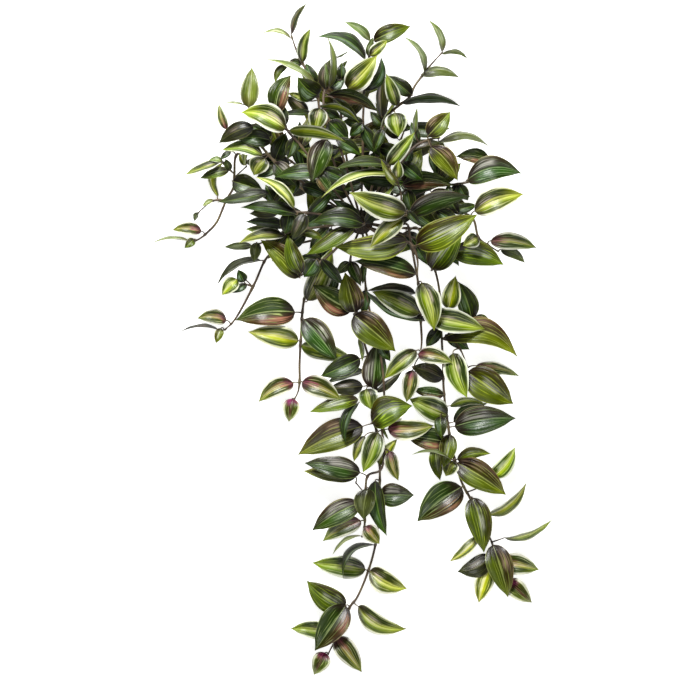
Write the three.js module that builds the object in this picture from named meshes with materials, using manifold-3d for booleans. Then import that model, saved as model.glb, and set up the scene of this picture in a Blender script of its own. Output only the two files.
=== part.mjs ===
// A trailing tradescantia, cut at its base and laid down on a surface. Millimetres, +Z up.
// The origin is under the middle of the crown, on the surface. +Y is the way the plant's top points,
// and its long stems trail towards -Y.

import * as THREE from 'three';
import { mergeVertices } from 'three/addons/utils/BufferGeometryUtils.js';
import Module from 'manifold-3d';

const wasm = await Module();
wasm.setup();

// ---- driving dimensions ----
const CROWN_RADIUS = 14;
const CROWN_HEIGHT = 35;
const CROWN_FOOT_RADIUS = 10;
const CROWN_FOOT_HEIGHT = 6;
const CROWN_SHOULDER_HEIGHT = 24;
const CROWN_TOP_RADIUS = 5;
const CROWN_SIDES = 12;
const STEM_RADIUS = 1.5;
const STEM_SIDES = 4;
const STEM_STEP = 25;
const STEM_SUNK_TO_RADIUS = 6;
const TWIG_RADIUS = 1.25;
const PETIOLE_HALF = 0.65;
const PETIOLE_RISE = 2;
const LONG_PETIOLE = 7;
const BLADE_THICKNESS = 1.0;
const FOLD = 0.26;
const ARCH = 0.1;
const WIDEST_POINT_POWER = 0.68;
const BASE_ROUNDNESS = 0.8;
const TIP_SHARPNESS = 0.78;
const BASE_END = 0.33;
const WIDTH_TO_LENGTH = 0.4;
const WIDEST_BY_RULE = 27;
const NARROWEST_BY_RULE = 9;
const STEEPEST_ROLL = 1.36;
const GAP = 0.3;
const SURFACE_CLEARANCE = 0.15;

// Places along a blade, from 0 at its base to 1 at its tip, where its section is given.
const BLADE_STATIONS = [0.16, 0.42, 0.74];
const SMALL_BLADE_STATIONS = [0.2, 0.58];
const SMALL_BLADE_WIDTH = 24;

// How a blade that would cross something is bent clear: the height added at its tip and at its base, and
// how much it arches. The gentlest change that clears it is taken.
const TIP_SHIFTS = [0, 5, -5, 10, -10, 16, -16, 23, -23, 31, -31, 40, -40, 50, -50];
const BASE_SHIFTS = [0, 3, -3, 7, -7, 12, -12, 18, -18];
const ARCHES = [ARCH, 0.2, 0.02, 0.3];
const BASE_SHIFT_COST = 1.6;
const ARCH_COST = 60;

// ---- the stems ----
// from: the direction in degrees and the height at which a stem leaves the crown.
// path: the points that it passes, [x, y, z]. twigs: side stems, each starting on the path.
// leaves: [base x, base y, tip x, tip y, width seen from above, sideways bow, lift of the base above the
// stem, height of the tip above the base, kind]. The bow is a share of the length, to the left of the way
// the leaf points. A leaf narrower than its length gives is turned on its side, the other way if its width
// is negative. Kinds U and G show their underside.
const STEMS = [
  {
    name: 'stem_front_middle',
    from: [20, 27],
    path: [[22, 7, 50], [40, 8, 70], [49, 10, 78]],
    twigs: [[[40, 8, 70], [45, 26, 76], [40, 45, 76], [31, 62, 70]]],
    leaves: [
      [50, 10, -13, 33, 30, 0.04, 4, 6, 'V'],
      [46, 3, 10, -29, 21, -0.04, 3, 0, 'Y'],
      [40, 44, 5, 12, 4, 0.1, 3, 12, 'P'],
      [30, 64, 60, 100, 18, 0, 2, 4, 'V'],
      [40, 48, 42, 69, 14, 0, 4, 6, 'V'],
      [31, 62, -30, 58, 12, -0.08, 1, -2, 'D'],
      [37, 51, -45, 26, 10, -0.12, 3, 2, 'Y'],
      [40, 44, -6, 46, 19, -0.08, -2, -6, 'D'],
      [42, 40, 22, 70, 9, 0.1, 3, 6, 'O'],
      [52, 12, 66, -4, 9, 0, -2, -6, 'D'],
    ],
  },
  {
    name: 'stem_front_low',
    from: [-40, 27],
    path: [[24, -16, 46], [42, -22, 60], [56, -25, 64], [63, -42, 62], [63, -60, 56]],
    twigs: [],
    leaves: [
      [52, -22, -30, -28, 30, 0.05, 5, 4, 'O'],
      [61, -59, -8, -44, 24, -0.03, 4, -4, 'R'],
      [62, -26, 130, 8, 34, -0.02, 5, 8, 'O'],
    ],
  },
  {
    name: 'stem_right_far',
    from: [5, 27],
    path: [
      [30, 5, 46], [54, 8, 54], [82, 14, 56], [108, 12, 50], [125, 4, 44], [132, -18, 34],
      [143, -26, 28], [154, -33, 24],
    ],
    twigs: [],
    leaves: [
      [54, 9, 123, 28, 22, 0.11, 6, 6, 'S'],
      [127, 12, 182, 31, 29, 0.08, 4, -4, 'V'],
      [131, -17, 114, -27, 18, 0, 3, 4, 'V'],
      [145, -21, 197, -29, 20, 0.08, 3, -6, 'Q'],
      [157, -31, 184, -46, 12, 0.12, 2, -6, 'G'],
      [108, 11, 98, 44, 14, 0.1, 2, -8, 'D'],
      [84, 14, 113, -4, 15, 0, 2, -10, 'D'],
      [102, 12, 130, 19, 13, 0, 0, -4, 'D'],
    ],
  },
  {
    name: 'stem_heart',
    from: [250, 30],
    path: [[-2, -3, 48], [2, -4, 64], [4, -2, 72]],
    twigs: [[[2, -4, 64], [-6, -8, 70]]],
    leaves: [
      [3, -3, -56, -2, 22, -0.12, 4, -4, 'D'],
      [-2, 3, -31, 25, 14, 0, -4, -10, 'D'],
      [-8, -7, -62, -37, 18, 0.03, 3, -6, 'O'],
      [4, -1, 38, 30, 14, 0.05, 0, -6, 'D'],
    ],
  },
  {
    name: 'stem_top_mid_left',
    from: [105, 27],
    path: [[-10, 38, 58], [-20, 72, 68], [-30, 100, 68], [-41, 128, 62], [-42, 140, 58], [-33, 168, 48]],
    twigs: [[[-33, 168, 48], [-29, 184, 44]]],
    leaves: [
      [-46, 129, -2, 110, 7, 0.2, 5, 2, 'Y'],
      [-46, 127, -52, 100, 22, 0, 5, 2, 'V'],
      [-36, 150, -38, 208, 8, -0.07, 3, -8, 'P'],
      [-39, 148, -34, 182, 15, 0.12, 1, -4, 'U'],
      [-39, 150, -40, 178, 5, 0, 0, 0, 'P'],
      [-22, 160, -22, 178, 11, 0, 0, 0, 'D'],
      [-29, 184, -14, 191, 2, 0, 0, 2, 'P'],
      [-27, 170, -15, 181, 5, 0, 0, 0, 'P'],
      [-36, 143, 20, 122, 16, 0.14, 3, -2, 'R'],
      [-30, 138, -2, 112, 14, 0, -2, -6, 'D'],
      [-38, 92, -54, 44, 26, -0.05, 3, -4, 'S'],
      [-27, 92, 0, 74, 15, 0.05, 0, -4, 'D'],
      [-36, 112, -14, 90, 24, 0, 1, -3, 'D'],
      [-24, 82, -62, 72, 16, 0, -2, -6, 'D'],
      [-44, 128, -22, 114, 14, 0, -3, -4, 'D'],
      [-34, 150, -18, 162, 16, 0, -2, -2, 'D'],
    ],
  },
  {
    name: 'stem_upper_left',
    from: [132, 27],
    path: [[-26, 30, 58], [-48, 58, 72], [-68, 86, 76], [-82, 102, 74], [-87, 118, 68]],
    twigs: [[[-82, 102, 74], [-106, 118, 60], [-129, 131, 50]]],
    leaves: [
      [-84, 104, -134, 122, 29, -0.13, 4, -8, 'V'],
      [-80, 102, -17, 89, 14, 0.1, 6, 6, 'Y'],
      [-95, 122, -78, 164, 24, 0.12, 2, -10, 'R'],
      [-126, 128, -122, 173, 21, 0, 2, -4, 'P'],
      [-132, 131, -153, 134, 3, 0, 1, -2, 'P'],
      [-121, 107, -159, 88, 20, -0.07, 0, -8, 'U'],
      [-66, 84, -54, 122, 16, 0, -2, -12, 'O'],
      [-44, 54, -96, 50, 18, -0.05, 0, -10, 'D'],
      [-42, 58, -14, 46, 16, 0, 0, -6, 'D'],
      [-48, 52, -32, 30, 14, 0, 2, -4, 'R'],
      [-84, 108, -102, 142, 18, 0, -2, -10, 'D'],
      [-74, 94, -82, 70, 14, 0, -4, -6, 'D'],
    ],
  },
  {
    name: 'stem_left_mid',
    from: [172, 27],
    path: [[-32, 6, 50], [-58, 10, 60], [-80, 12, 58], [-96, 18, 52], [-110, 29, 46]],
    twigs: [],
    leaves: [
      [-72, 8, -135, 16, 15, -0.04, 3, -8, 'D'],
      [-92, 12, -125, 9, 14, 0, 2, -4, 'U'],
      [-80, 10, -85, -14, 18, 0, 3, -4, 'D'],
      [-104, 32, -161, 22, 15, 0.02, 2, -8, 'D'],
      [-75, 15, -118, 50, 13, -0.1, 3, -2, 'Y'],
      [-60, 8, -30, 36, 14, 0, -2, -8, 'D'],
      [-97, 20, -72, 42, 14, 0, 0, -4, 'O'],
      [-62, 8, -77, -20, 17, 0, 3, 2, 'U'],
      [-96, 20, -107, 42, 13, 0, -3, -2, 'D'],
    ],
  },
  {
    name: 'stem_upper_right',
    from: [58, 27],
    path: [[22, 32, 50], [44, 64, 60], [60, 84, 60], [76, 92, 56], [89, 94, 52]],
    twigs: [],
    leaves: [
      [75, 96, 100, 123, 23, 0, 3, -4, 'B'],
      [60, 100, 63, 128, 6, 0.06, 2, 0, 'P'],
      [88, 90, 144, 83, 10, 0.22, 3, -6, 'G'],
      [78, 84, 108, 46, 24, 0.08, 4, -6, 'B'],
      [56, 82, 40, 50, 15, 0, -2, -6, 'D'],
      [46, 66, 70, 46, 17, 0, -2, -4, 'D'],
      [64, 88, 56, 112, 11, 0, -2, -6, 'D'],
      [80, 80, 85, 52, 13, 0, -4, -8, 'D'],
      [34, 50, 6, 66, 15, 0, -2, -6, 'R'],
    ],
  },
  {
    name: 'stem_right_high',
    from: [38, 20],
    path: [[34, 26, 34], [60, 38, 38], [88, 42, 40], [106, 42, 42], [122, 46, 42], [140, 60, 38]],
    twigs: [],
    leaves: [
      [47, 42, 104, 40, 20, 0.13, 8, 6, 'R'],
      [48, 44, 68, 82, 22, 0, 4, -6, 'O'],
      [119, 47, 180, 54, 29, 0.17, 4, -4, 'S'],
      [144, 68, 106, 73, 18, -0.1, 3, 2, 'R'],
      [108, 42, 96, 12, 14, 0, -2, -10, 'D'],
      [109, 42, 120, 24, 13, 0, -2, -8, 'D'],
      [52, 36, 57, 10, 15, 0, 0, -4, 'D'],
      [88, 44, 112, 66, 16, 0, -1, -6, 'O'],
    ],
  },
  {
    name: 'stem_left_low',
    from: [194, 20],
    path: [[-34, -4, 34], [-62, -8, 38], [-86, -12, 38], [-108, -22, 30], [-122, -27, 26]],
    twigs: [],
    leaves: [
      [-84, -6, -130, 0, 13, -0.04, 4, -2, 'D'],
      [-90, -14, -130, -8, 12, -0.03, 2, -6, 'O'],
      [-86, -16, -137, -24, 14, -0.08, 5, -2, 'V'],
      [-122, -27, -154, -28, 9, 0.02, 2, -4, 'G'],
      [-117, -23, -120, -45, 13, 0, 2, -4, 'G'],
      [-62, -12, -92, -36, 16, 0, -2, -8, 'D'],
      [-60, -4, -96, 22, 16, 0, -3, -8, 'D'],
      [-66, -12, -42, -20, 10, 0.1, 3, 0, 'O'],
      [-36, -6, -58, -30, 15, 0, -2, -6, 'D'],
    ],
  },
  {
    name: 'stem_low_left',
    from: [226, 20],
    path: [[-22, -24, 32], [-44, -44, 38], [-62, -56, 38], [-70, -62, 36]],
    twigs: [],
    leaves: [
      [-69, -62, -113, -20, 26, -0.07, 4, 0, 'B'],
      [-67, -58, -82, -14, 20, 0.05, 7, 6, 'O'],
      [-50, -42, -64, -62, 20, 0, 3, -4, 'D'],
      [-44, -44, -68, -38, 13, 0, -2, -4, 'D'],
      [-44, -42, -20, -70, 14, 0, -2, -8, 'D'],
    ],
  },
  {
    name: 'stem_top_middle',
    from: [89, 20],
    path: [[1, 42, 36], [2, 78, 46], [2, 108, 50], [3, 132, 50], [4, 156, 46], [9, 184, 40], [12, 203, 36]],
    twigs: [[[3, 132, 50], [-8, 146, 50]]],
    leaves: [
      [-15, 149, 18, 186, 29, -0.02, 5, 6, 'V'],
      [4, 147, 22, 186, 13, -0.18, 4, -2, 'D'],
      [5, 182, -50, 207, 15, -0.17, 2, -4, 'D'],
      [10, 203, -19, 224, 11, -0.08, 2, -2, 'P'],
      [14, 203, 56, 219, 20, 0.04, 3, -4, 'O'],
      [10, 186, 30, 204, 14, 0, 1, 0, 'V'],
      [2, 108, 22, 72, 15, 0, -2, -8, 'D'],
      [2, 110, -13, 96, 13, 0, 1, -4, 'D'],
      [8, 186, 13, 207, 9, 0, 0, 0, 'G'],
      [3, 110, -20, 113, 14, 0, -1, -4, 'D'],
      [1, 52, -26, 62, 14, 0, -1, -6, 'D'],
      [2, 45, -20, 36, 14, 0, -2, -4, 'D'],
      [2, 82, 28, 96, 13, 0, -2, -4, 'D'],
    ],
  },
  {
    name: 'stem_left_high',
    from: [152, 20],
    path: [[-38, 24, 38], [-68, 46, 46], [-97, 68, 48], [-114, 88, 44], [-126, 103, 40], [-149, 103, 34]],
    twigs: [],
    leaves: [
      [-151, 104, -159, 132, 11, 0.06, 2, -2, 'Q'],
      [-101, 91, -137, 92, 20, -0.08, 4, -4, 'D'],
      [-100, 97, -127, 109, 14, 0, -2, -4, 'D'],
      [-92, 62, -117, 50, 12, 0, -2, -4, 'D'],
      [-110, 74, -156, 80, 17, -0.14, 3, -6, 'V'],
      [-107, 71, -120, 52, 23, -0.12, 4, -4, 'V'],
      [-97, 66, -72, 40, 20, 0, 4, 2, 'S'],
      [-126, 96, -131, 62, 8, 0, 1, -8, 'Y'],
      [-65, 40, -30, 25, 16, 0.05, 2, 4, 'D'],
      [-96, 70, -84, 100, 20, 0, -2, -4, 'D'],
      [-70, 48, -92, 26, 17, 0, -2, -6, 'D'],
    ],
  },
  {
    name: 'stem_top_right',
    from: [73, 13],
    path: [
      [13, 42, 26], [18, 70, 34], [22, 92, 38], [26, 114, 40], [38, 127, 40], [55, 141, 38], [60, 152, 36],
      [68, 163, 34], [79, 177, 30], [91, 190, 26],
    ],
    twigs: [],
    leaves: [
      [23, 118, 26, 168, 14, 0.05, 4, 4, 'U'],
      [21, 92, 44, 142, 7, 0.1, 3, 4, 'Y'],
      [40, 130, 28, 166, 16, 0, 6, 6, 'V'],
      [57, 142, 30, 164, 17, 0, 3, -2, 'D'],
      [46, 134, 112, 129, 11, 0.15, 3, -6, 'D'],
      [68, 165, 111, 161, 12, 0.17, 2, -6, 'G'],
      [71, 167, 46, 208, 8, -0.14, 2, -2, 'P'],
      [91, 191, 75, 227, 9, -0.1, 1, -2, 'P'],
      [91, 189, 120, 182, 6, 0.22, 1, -4, 'P'],
      [38, 122, 42, 95, 26, 0, 8, 4, 'V'],
      [26, 112, 58, 104, 16, 0, -2, -4, 'D'],
      [24, 104, 14, 78, 13, 0, 1, -2, 'D'],
      [18, 82, -32, 70, 16, -0.14, 4, 2, 'O'],
      [19, 78, -3, 64, 9, 0.1, 3, 0, 'R'],
      [20, 84, 50, 74, 17, 0, -2, -6, 'D'],
      [26, 106, 10, 124, 13, 0, -2, -2, 'D'],
    ],
  },
  {
    name: 'stem_top_left',
    from: [118, 13],
    path: [
      [-20, 40, 26], [-36, 84, 38], [-46, 120, 42], [-50, 150, 40], [-65, 177, 36], [-73, 194, 32],
      [-78, 209, 30],
    ],
    twigs: [],
    leaves: [
      [-79, 206, -111, 211, 6, -0.15, 1, -2, 'P'],
      [-78, 211, -60, 245, 8, 0.15, 1, -2, 'Q'],
      [-66, 179, -56, 217, 13, 0.12, 2, 0, 'V'],
      [-52, 154, -107, 182, 8, -0.07, 4, -4, 'P'],
      [-82, 176, -96, 155, 9, -0.16, 2, -4, 'O'],
      [-67, 176, -82, 178, 9, -0.15, 0, -2, 'D'],
      [-51, 153, -62, 178, 14, 0, 3, 2, 'D'],
      [-48, 142, -71, 162, 27, 0.1, 2, -2, 'D'],
      [-62, 136, -82, 144, 9, -0.05, 3, 0, 'V'],
      [-60, 121, -84, 141, 16, 0, 2, 0, 'U'],
      [-56, 122, -92, 120, 8, 0, 4, 2, 'D'],
    ],
  },
  {
    name: 'stem_left_trail',
    from: [168, 6],
    path: [
      [-44, 22, 16], [-86, 52, 22], [-122, 78, 22], [-139, 76, 20], [-142, 54, 16], [-143, 39, 13],
      [-151, 25, 10], [-162, 0, 5], [-172, -11, 3], [-182, -19, 2], [-190, -22, 2],
    ],
    twigs: [
      [[-142, 54, 16], [-154, 65, 18]],
      [[-142, 50, 15], [-128, 63, 16]],
      [[-150, 25, 10], [-166, 24, 9], [-178, 15, 7], [-183, 10, 6]],
    ],
    leaves: [
      [-144, 46, -109, 35, 24, 0, 3, 4, 'D'],
      [-158, 67, -198, 53, 10, 0, 2, -8, 'V'],
      [-155, 68, -171, 69, 7, -0.1, 1, -2, 'P'],
      [-148, 58, -181, 49, 12, -0.02, 0, -4, 'O'],
      [-161, 29, -151, 69, 10, 0.3, 1, 6, 'Y'],
      [-147, 58, -152, 71, 9, 0, 2, 2, 'G'],
      [-146, 79, -158, 70, 7, 0, 0, 0, 'D'],
      [-129, 64, -137, 77, 9, 0, 0, 2, 'Y'],
      [-166, 25, -178, 18, 6, 0, 0, 0, 'P'],
      [-183, 11, -187, 1, 6, 0, 0, 0, 'G'],
      [-179, -10, -212, -9, 15, -0.1, 2, 0, 'Q'],
      [-192, -22, -234, -23, 4, -0.08, 1, 4, 'P'],
      [-187, -19, -198, -29, 10, 0, 0, 3, 'O'],
    ],
  },
  {
    name: 'stem_left_low_trail',
    from: [211, 6],
    path: [
      [-46, -18, 12], [-84, -28, 14], [-104, -38, 12], [-119, -68, 8], [-133, -95, 5], [-143, -111, 3],
      [-153, -121, 2],
    ],
    twigs: [],
    leaves: [
      [-112, -43, -162, -72, 9, -0.14, 2, 0, 'G'],
      [-131, -67, -138, -53, 12, 0, 2, 3, 'D'],
      [-139, -64, -156, -82, 18, -0.05, 2, 2, 'Y'],
      [-128, -70, -147, -79, 9, 0, 0, 0, 'D'],
      [-151, -110, -184, -108, 18, -0.12, 2, 2, 'Q'],
      [-160, -121, -203, -123, 3, -0.1, 2, 4, 'U'],
      [-157, -119, -163, -136, 10, 0, 1, 3, 'O'],
      [-86, -28, -112, -8, 14, 0, 0, 0, 'D'],
      [-88, -32, -100, -44, 11, 0, 0, 0, 'D'],
    ],
  },
  {
    name: 'stem_right_low',
    from: [-10, 17],
    path: [[32, -8, 23], [60, -18, 28], [86, -24, 30], [104, -32, 28]],
    twigs: [],
    leaves: [
      [103, -33, 160, -48, 29, 0.09, 3, -6, 'O'],
      [72, -22, 96, 8, 15, 0, 0, -4, 'D'],
      [92, -26, 118, -2, 12, 0, 0, -4, 'D'],
    ],
  },
  {
    name: 'stem_below_middle',
    from: [-34, 20],
    path: [
      [28, -12, 30], [51, -2, 34], [55, -18, 36], [59, -40, 36], [64, -68, 34], [66, -92, 30],
      [67, -112, 26], [68, -135, 22], [66, -150, 20],
    ],
    twigs: [],
    leaves: [
      [68, -68, 82, -122, 28, 0.05, 7, 0, 'V'],
      [66, -102, 12, -78, 27, -0.03, 4, -2, 'V'],
      [71, -110, 3, -75, 13, 0.12, 0, -4, 'D'],
      [75, -106, 139, -120, 28, 0.02, 5, -6, 'V'],
      [64, -148, 103, -158, 20, 0.08, 4, 4, 'Q'],
      [62, -144, 26, -176, 21, -0.04, 3, -2, 'V'],
      [58, -166, 51, -202, 20, 0, 2, -2, 'Q'],
      [62, -28, 72, -44, 12, 0, -2, -6, 'D'],
      [61, -80, 6, -77, 12, -0.04, 1, -2, 'U'],
    ],
  },
  {
    name: 'stem_below_right',
    from: [312, 13],
    path: [
      [44, -14, 20], [62, -6, 24], [72, -26, 24], [83, -54, 26], [88, -78, 22], [90, -120, 16],
      [92, -160, 12], [93, -190, 9], [99, -236, 6], [105, -266, 4], [114, -294, 2.6], [124, -312, 2],
      [138, -340, 2], [146, -357, 2], [149, -366, 2],
    ],
    twigs: [
      [[90, -116, 16], [108, -112, 18], [124, -108, 18]],
      [[91, -130, 15], [108, -138, 18], [120, -163, 16]],
    ],
    leaves: [
      [79, -53, 113, -1, 32, 0, 10, 8, 'O'],
      [98, -97, 106, -60, 22, 0, 4, 6, 'Y'],
      [124, -109, 108, -66, 24, -0.05, 2, 2, 'D'],
      [127, -107, 146, -117, 12, 0.1, 1, -2, 'G'],
      [94, -129, 176, -152, 31, 0.22, 2, -4, 'B'],
      [96, -126, 122, -143, 15, 0, -2, -4, 'D'],
      [88, -119, 73, -140, 15, 0, -2, -4, 'D'],
      [92, -175, 56, -162, 21, -0.04, 1, -3, 'U'],
      [93, -194, 58, -188, 14, 0, 0, -3, 'R'],
      [103, -147, 119, -197, 28, -0.06, 6, 4, 'V'],
      [119, -168, 171, -204, 38, 0.0, 2, -3, 'O'],
      [129, -161, 178, -173, 14, 0.09, 4, 3, 'Q'],
      [97, -217, 54, -198, 29, 0, 4, 4, 'V'],
      [100, -206, 141, -205, 10, 0.16, 3, 3, 'Y'],
      [105, -229, 174, -220, 33, 0.05, 4, 2, 'S'],
      [104, -224, 142, -203, 16, 0.1, 0, 0, 'R'],
      [89, -218, 90, -243, 15, 0, 8, 6, 'D'],
      [94, -246, 50, -240, 26, -0.02, 2, 0, 'R'],
      [100, -238, 92, -276, 20, 0.02, 5, 4, 'O'],
      [84, -252, 89, -290, 16, -0.05, 2, 0, 'O'],
      [103, -268, 95, -285, 20, 0, 4, 3, 'V'],
      [100, -266, 56, -261, 3, -0.12, 2, 4, 'P'],
      [108, -266, 146, -260, 14, 0.14, 2, 3, 'O'],
      [108, -270, 163, -306, 32, 0.03, 3, 2, 'B'],
      [147, -286, 173, -252, 20, -0.09, 0, 2, 'Y'],
      [113, -297, 63, -336, 36, -0.05, 2, 2, 'R'],
      [125, -309, 138, -371, 29, 0.04, 4, 2, 'O'],
      [143, -328, 186, -291, 14, -0.11, 2, 6, 'Y'],
      [161, -354, 215, -333, 10, -0.08, 2, 8, 'V'],
      [131, -354, 99, -381, 13, 0.06, 0, 2, 'Y'],
      [145, -376, 108, -392, 24, 0.11, 2, 2, 'U'],
      [148, -362, 165, -421, 30, 0.02, 4, 4, 'B'],
      [158, -381, 200, -390, 25, 0.03, 1, 2, 'Q'],
      [164, -402, 192, -427, 22, 0, 1, 2, 'M'],
      [143, -390, 132, -427, 22, -0.02, 0, 2, 'Y'],
    ],
  },
  {
    name: 'stem_below_long',
    from: [268, 6],
    path: [
      [-8, -24, 12], [-12, -44, 16], [-9, -75, 15], [-4, -105, 12], [5, -140, 9], [13, -165, 8],
      [17, -190, 7], [14, -208, 7], [14, -222, 7], [19, -240, 7], [21, -270, 6], [21, -300, 5],
      [20, -330, 4], [17, -358, 3], [9, -389, 2], [-5, -422, 2], [-12, -431, 2], [-22, -455, 2],
      [-32, -475, 2], [-38, -487, 2],
    ],
    twigs: [],
    leaves: [
      [-12, -44, 0, -72, 14, 0, 10, 4, 'S'],
      [-13, -45, -28, -58, 12, 0, 8, 0, 'G'],
      [-10, -99, -54, -70, 30, 0.05, 6, 4, 'R'],
      [-7, -101, -18, -56, 28, 0, 10, 10, 'B'],
      [-8, -104, 39, -145, 35, 0.01, 6, 2, 'B'],
      [-2, -130, 1, -157, 6, 0.1, 0, 0, 'P'],
      [13, -186, 18, -134, 28, 0, 2, 2, 'S'],
      [17, -190, 46, -168, 9, 0, 2, 2, 'U'],
      [-1, -153, -46, -173, 24, 0.01, 2, 2, 'D'],
      [3, -167, -40, -182, 11, -0.04, 4, 2, 'G'],
      [2, -184, -37, -187, 19, 0, 2, 0, 'U'],
      [6, -187, 11, -210, 24, 0, 7, 4, 'V'],
      [-3, -199, -58, -213, 17, 0, 3, 2, 'O'],
      [-3, -203, -17, -248, 12, -0.15, 8, 8, 'D'],
      [2, -229, -71, -261, 35, -0.05, 2, 2, 'B'],
      [12, -225, 58, -206, 34, 0.14, 3, 3, 'O'],
      [30, -232, 82, -228, 26, -0.04, 2, 2, 'Q'],
      [19, -236, 2, -281, 25, 0.02, 6, 4, 'V'],
      [4, -240, -8, -269, 12, -0.05, 2, 0, 'V'],
      [20, -272, 41, -243, 15, 0.05, 4, 4, 'Y'],
      [32, -257, 42, -290, 17, -0.04, 4, 2, 'Q'],
      [21, -306, 60, -306, 27, 0.0, 4, 4, 'S'],
      [16, -290, 29, -352, 21, -0.05, 3, 2, 'D'],
      [16, -362, -20, -401, 9, -0.26, 5, 4, 'D'],
      [5, -390, -55, -382, 26, 0, 2, 3, 'V'],
      [10, -391, 52, -411, 28, -0.1, 2, 3, 'V'],
      [-18, -432, -61, -402, 29, 0.07, 3, 4, 'O'],
      [-3, -431, 52, -456, 24, -0.15, 2, 4, 'V'],
      [-17, -430, -52, -481, 33, 0.0, 5, 4, 'R'],
      [-36, -461, -79, -456, 21, -0.05, 1, 2, 'V'],
      [-28, -466, 1, -505, 25, 0.02, 2, 3, 'Q'],
      [-40, -483, -53, -508, 21, 0, 1, 2, 'M'],
    ],
  },
  {
    name: 'stem_below_side',
    from: [278, 13],
    path: [
      [4, -30, 24], [5, -70, 26], [12, -110, 24], [22, -150, 20], [26, -195, 18], [23, -228, 17],
      [26, -255, 16], [22, -278, 15], [8, -284, 14], [5, -305, 12], [4, -340, 9], [1, -354, 7],
    ],
    twigs: [[[5, -305, 12], [-6, -292, 12]]],
    leaves: [
      [-1, -281, -64, -270, 24, -0.02, 4, 2, 'S'],
      [-6, -286, -65, -279, 19, 0.01, 0, -2, 'B'],
      [-2, -315, -55, -346, 27, -0.05, 2, -2, 'S'],
      [8, -299, 3, -334, 24, -0.06, 5, 2, 'G'],
      [0, -335, -43, -358, 22, -0.08, 4, 0, 'Q'],
      [5, -341, 21, -361, 20, 0, 4, 2, 'Q'],
      [1, -352, -32, -373, 5, -0.12, 6, 8, 'P'],
      [4, -46, 2, -70, 8, 0, 2, 0, 'D'],
      [23, -226, 31, -244, 4, 0, 0, 0, 'P'],
      [5, -76, 3, -106, 13, 0, -2, -2, 'D'],
      [20, -136, 33, -156, 13, 0, -2, 0, 'D'],
    ],
  },
  {
    name: 'stem_below_left',
    from: [240, 6],
    path: [
      [-28, -30, 14], [-50, -56, 12], [-62, -80, 8], [-66, -103, 4], [-67, -120, 2], [-68, -138, 2],
      [-69, -160, 2], [-69, -180, 2], [-71, -191, 2], [-75, -199, 2],
    ],
    twigs: [],
    leaves: [
      [-60, -88, -32, -28, 26, -0.02, 10, 14, 'V'],
      [-38, -82, -27, -50, 18, 0, 4, 4, 'D'],
      [-74, -101, -141, -110, 33, -0.07, 3, 3, 'R'],
      [-70, -133, -127, -123, 26, -0.01, 2, 3, 'Y'],
      [-64, -109, -27, -155, 30, 0.02, 4, 3, 'S'],
      [-67, -138, -8, -153, 21, 0.02, 1, 1, 'Y'],
      [-76, -180, -115, -202, 22, -0.12, 2, 3, 'Q'],
      [-66, -179, -22, -199, 25, 0.06, 2, 6, 'Q'],
      [-77, -198, -81, -224, 20, 0, 1, 3, 'M'],
    ],
  },
];

// Short stems behind the bush. Their leaves grow alternately left and right, each turned away from the stem
// by a draw from the stem's seed.
const BACK_STEMS = [
  {
    name: 'stem_back_top',
    from: [102, 6],
    path: [[-10, 40, 10], [-18, 84, 14], [-22, 128, 14], [-12, 156, 12]],
    seed: 1420,
  },
  {
    name: 'stem_back_top_right',
    from: [66, 6],
    path: [[26, 50, 10], [42, 86, 14], [52, 112, 14]],
    seed: 2896,
  },
  { name: 'stem_back_right', from: [26, 6], path: [[38, 20, 10], [74, 36, 14], [98, 44, 12]], seed: 21 },
  {
    name: 'stem_back_right_low',
    from: [-6, 6],
    path: [[40, -6, 10], [70, -8, 14], [92, -14, 10]],
    seed: 248,
  },
  {
    name: 'stem_back_left',
    from: [148, 6],
    path: [[-40, 32, 10], [-68, 60, 10], [-94, 80, 12]],
    seed: 2697,
  },
  {
    name: 'stem_back_left_low',
    from: [190, 6],
    path: [[-40, -2, 10], [-74, 0, 12], [-90, 4, 10]],
    seed: 428,
  },
  { name: 'stem_back_below', from: [300, 6], path: [[14, -32, 8], [20, -44, 8]], seed: 2267 },
];
const BACK_FIRST = 26;
const BACK_PITCH = 17;
const BACK_LENGTH = [42, 56];
const BACK_WIDTH_TO_LENGTH = 0.4;
const BACK_ANGLE = [35, 75];
const BACK_PETIOLE = 5;
const BACK_BOW = 0.1;
const BACK_RISE = 2;
const BACK_KINDS = 'DDOUDDB';

// ---- small helpers ----
const vec = (p) => new THREE.Vector3(...p);
const UP = new THREE.Vector3(0, 0, 1);
const rad = THREE.MathUtils.degToRad;

// A repeatable draw from 0 to 1.
function makeDraw(seed) {
  let state = seed;
  return () => {
    state = (state * 1103515245 + 12345) % 2147483648;
    return state / 2147483648;
  };
}

function solidFromTriangles(points, triangles) {
  const mesh = new wasm.Mesh({
    numProp: 3,
    vertProperties: new Float32Array(points.flatMap((p) => [p.x, p.y, p.z])),
    triVerts: new Uint32Array(triangles.flat()),
  });
  return new wasm.Manifold(mesh);
}

function solidFromGeometry(geometry) {
  geometry.deleteAttribute('normal');
  geometry.deleteAttribute('uv');
  const merged = mergeVertices(geometry, 1e-4);
  return new wasm.Manifold(new wasm.Mesh({
    numProp: 3,
    vertProperties: new Float32Array(merged.attributes.position.array),
    triVerts: new Uint32Array(merged.index.array),
  }));
}

function geometryFromSolid(solid) {
  const mesh = solid.getMesh();
  const geometry = new THREE.BufferGeometry();
  geometry.setAttribute('position', new THREE.BufferAttribute(mesh.vertProperties, 3));
  geometry.setIndex(new THREE.BufferAttribute(mesh.triVerts, 1));
  geometry.computeVertexNormals();
  return geometry;
}

// Joining can leave a scrap of no volume beside the body.
function largestBody(solid) {
  return solid.decompose().sort((a, b) => b.volume() - a.volume())[0];
}

function boxOf(solid) {
  const box = solid.boundingBox();
  return new THREE.Box3(vec(box.min), vec(box.max));
}

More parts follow.
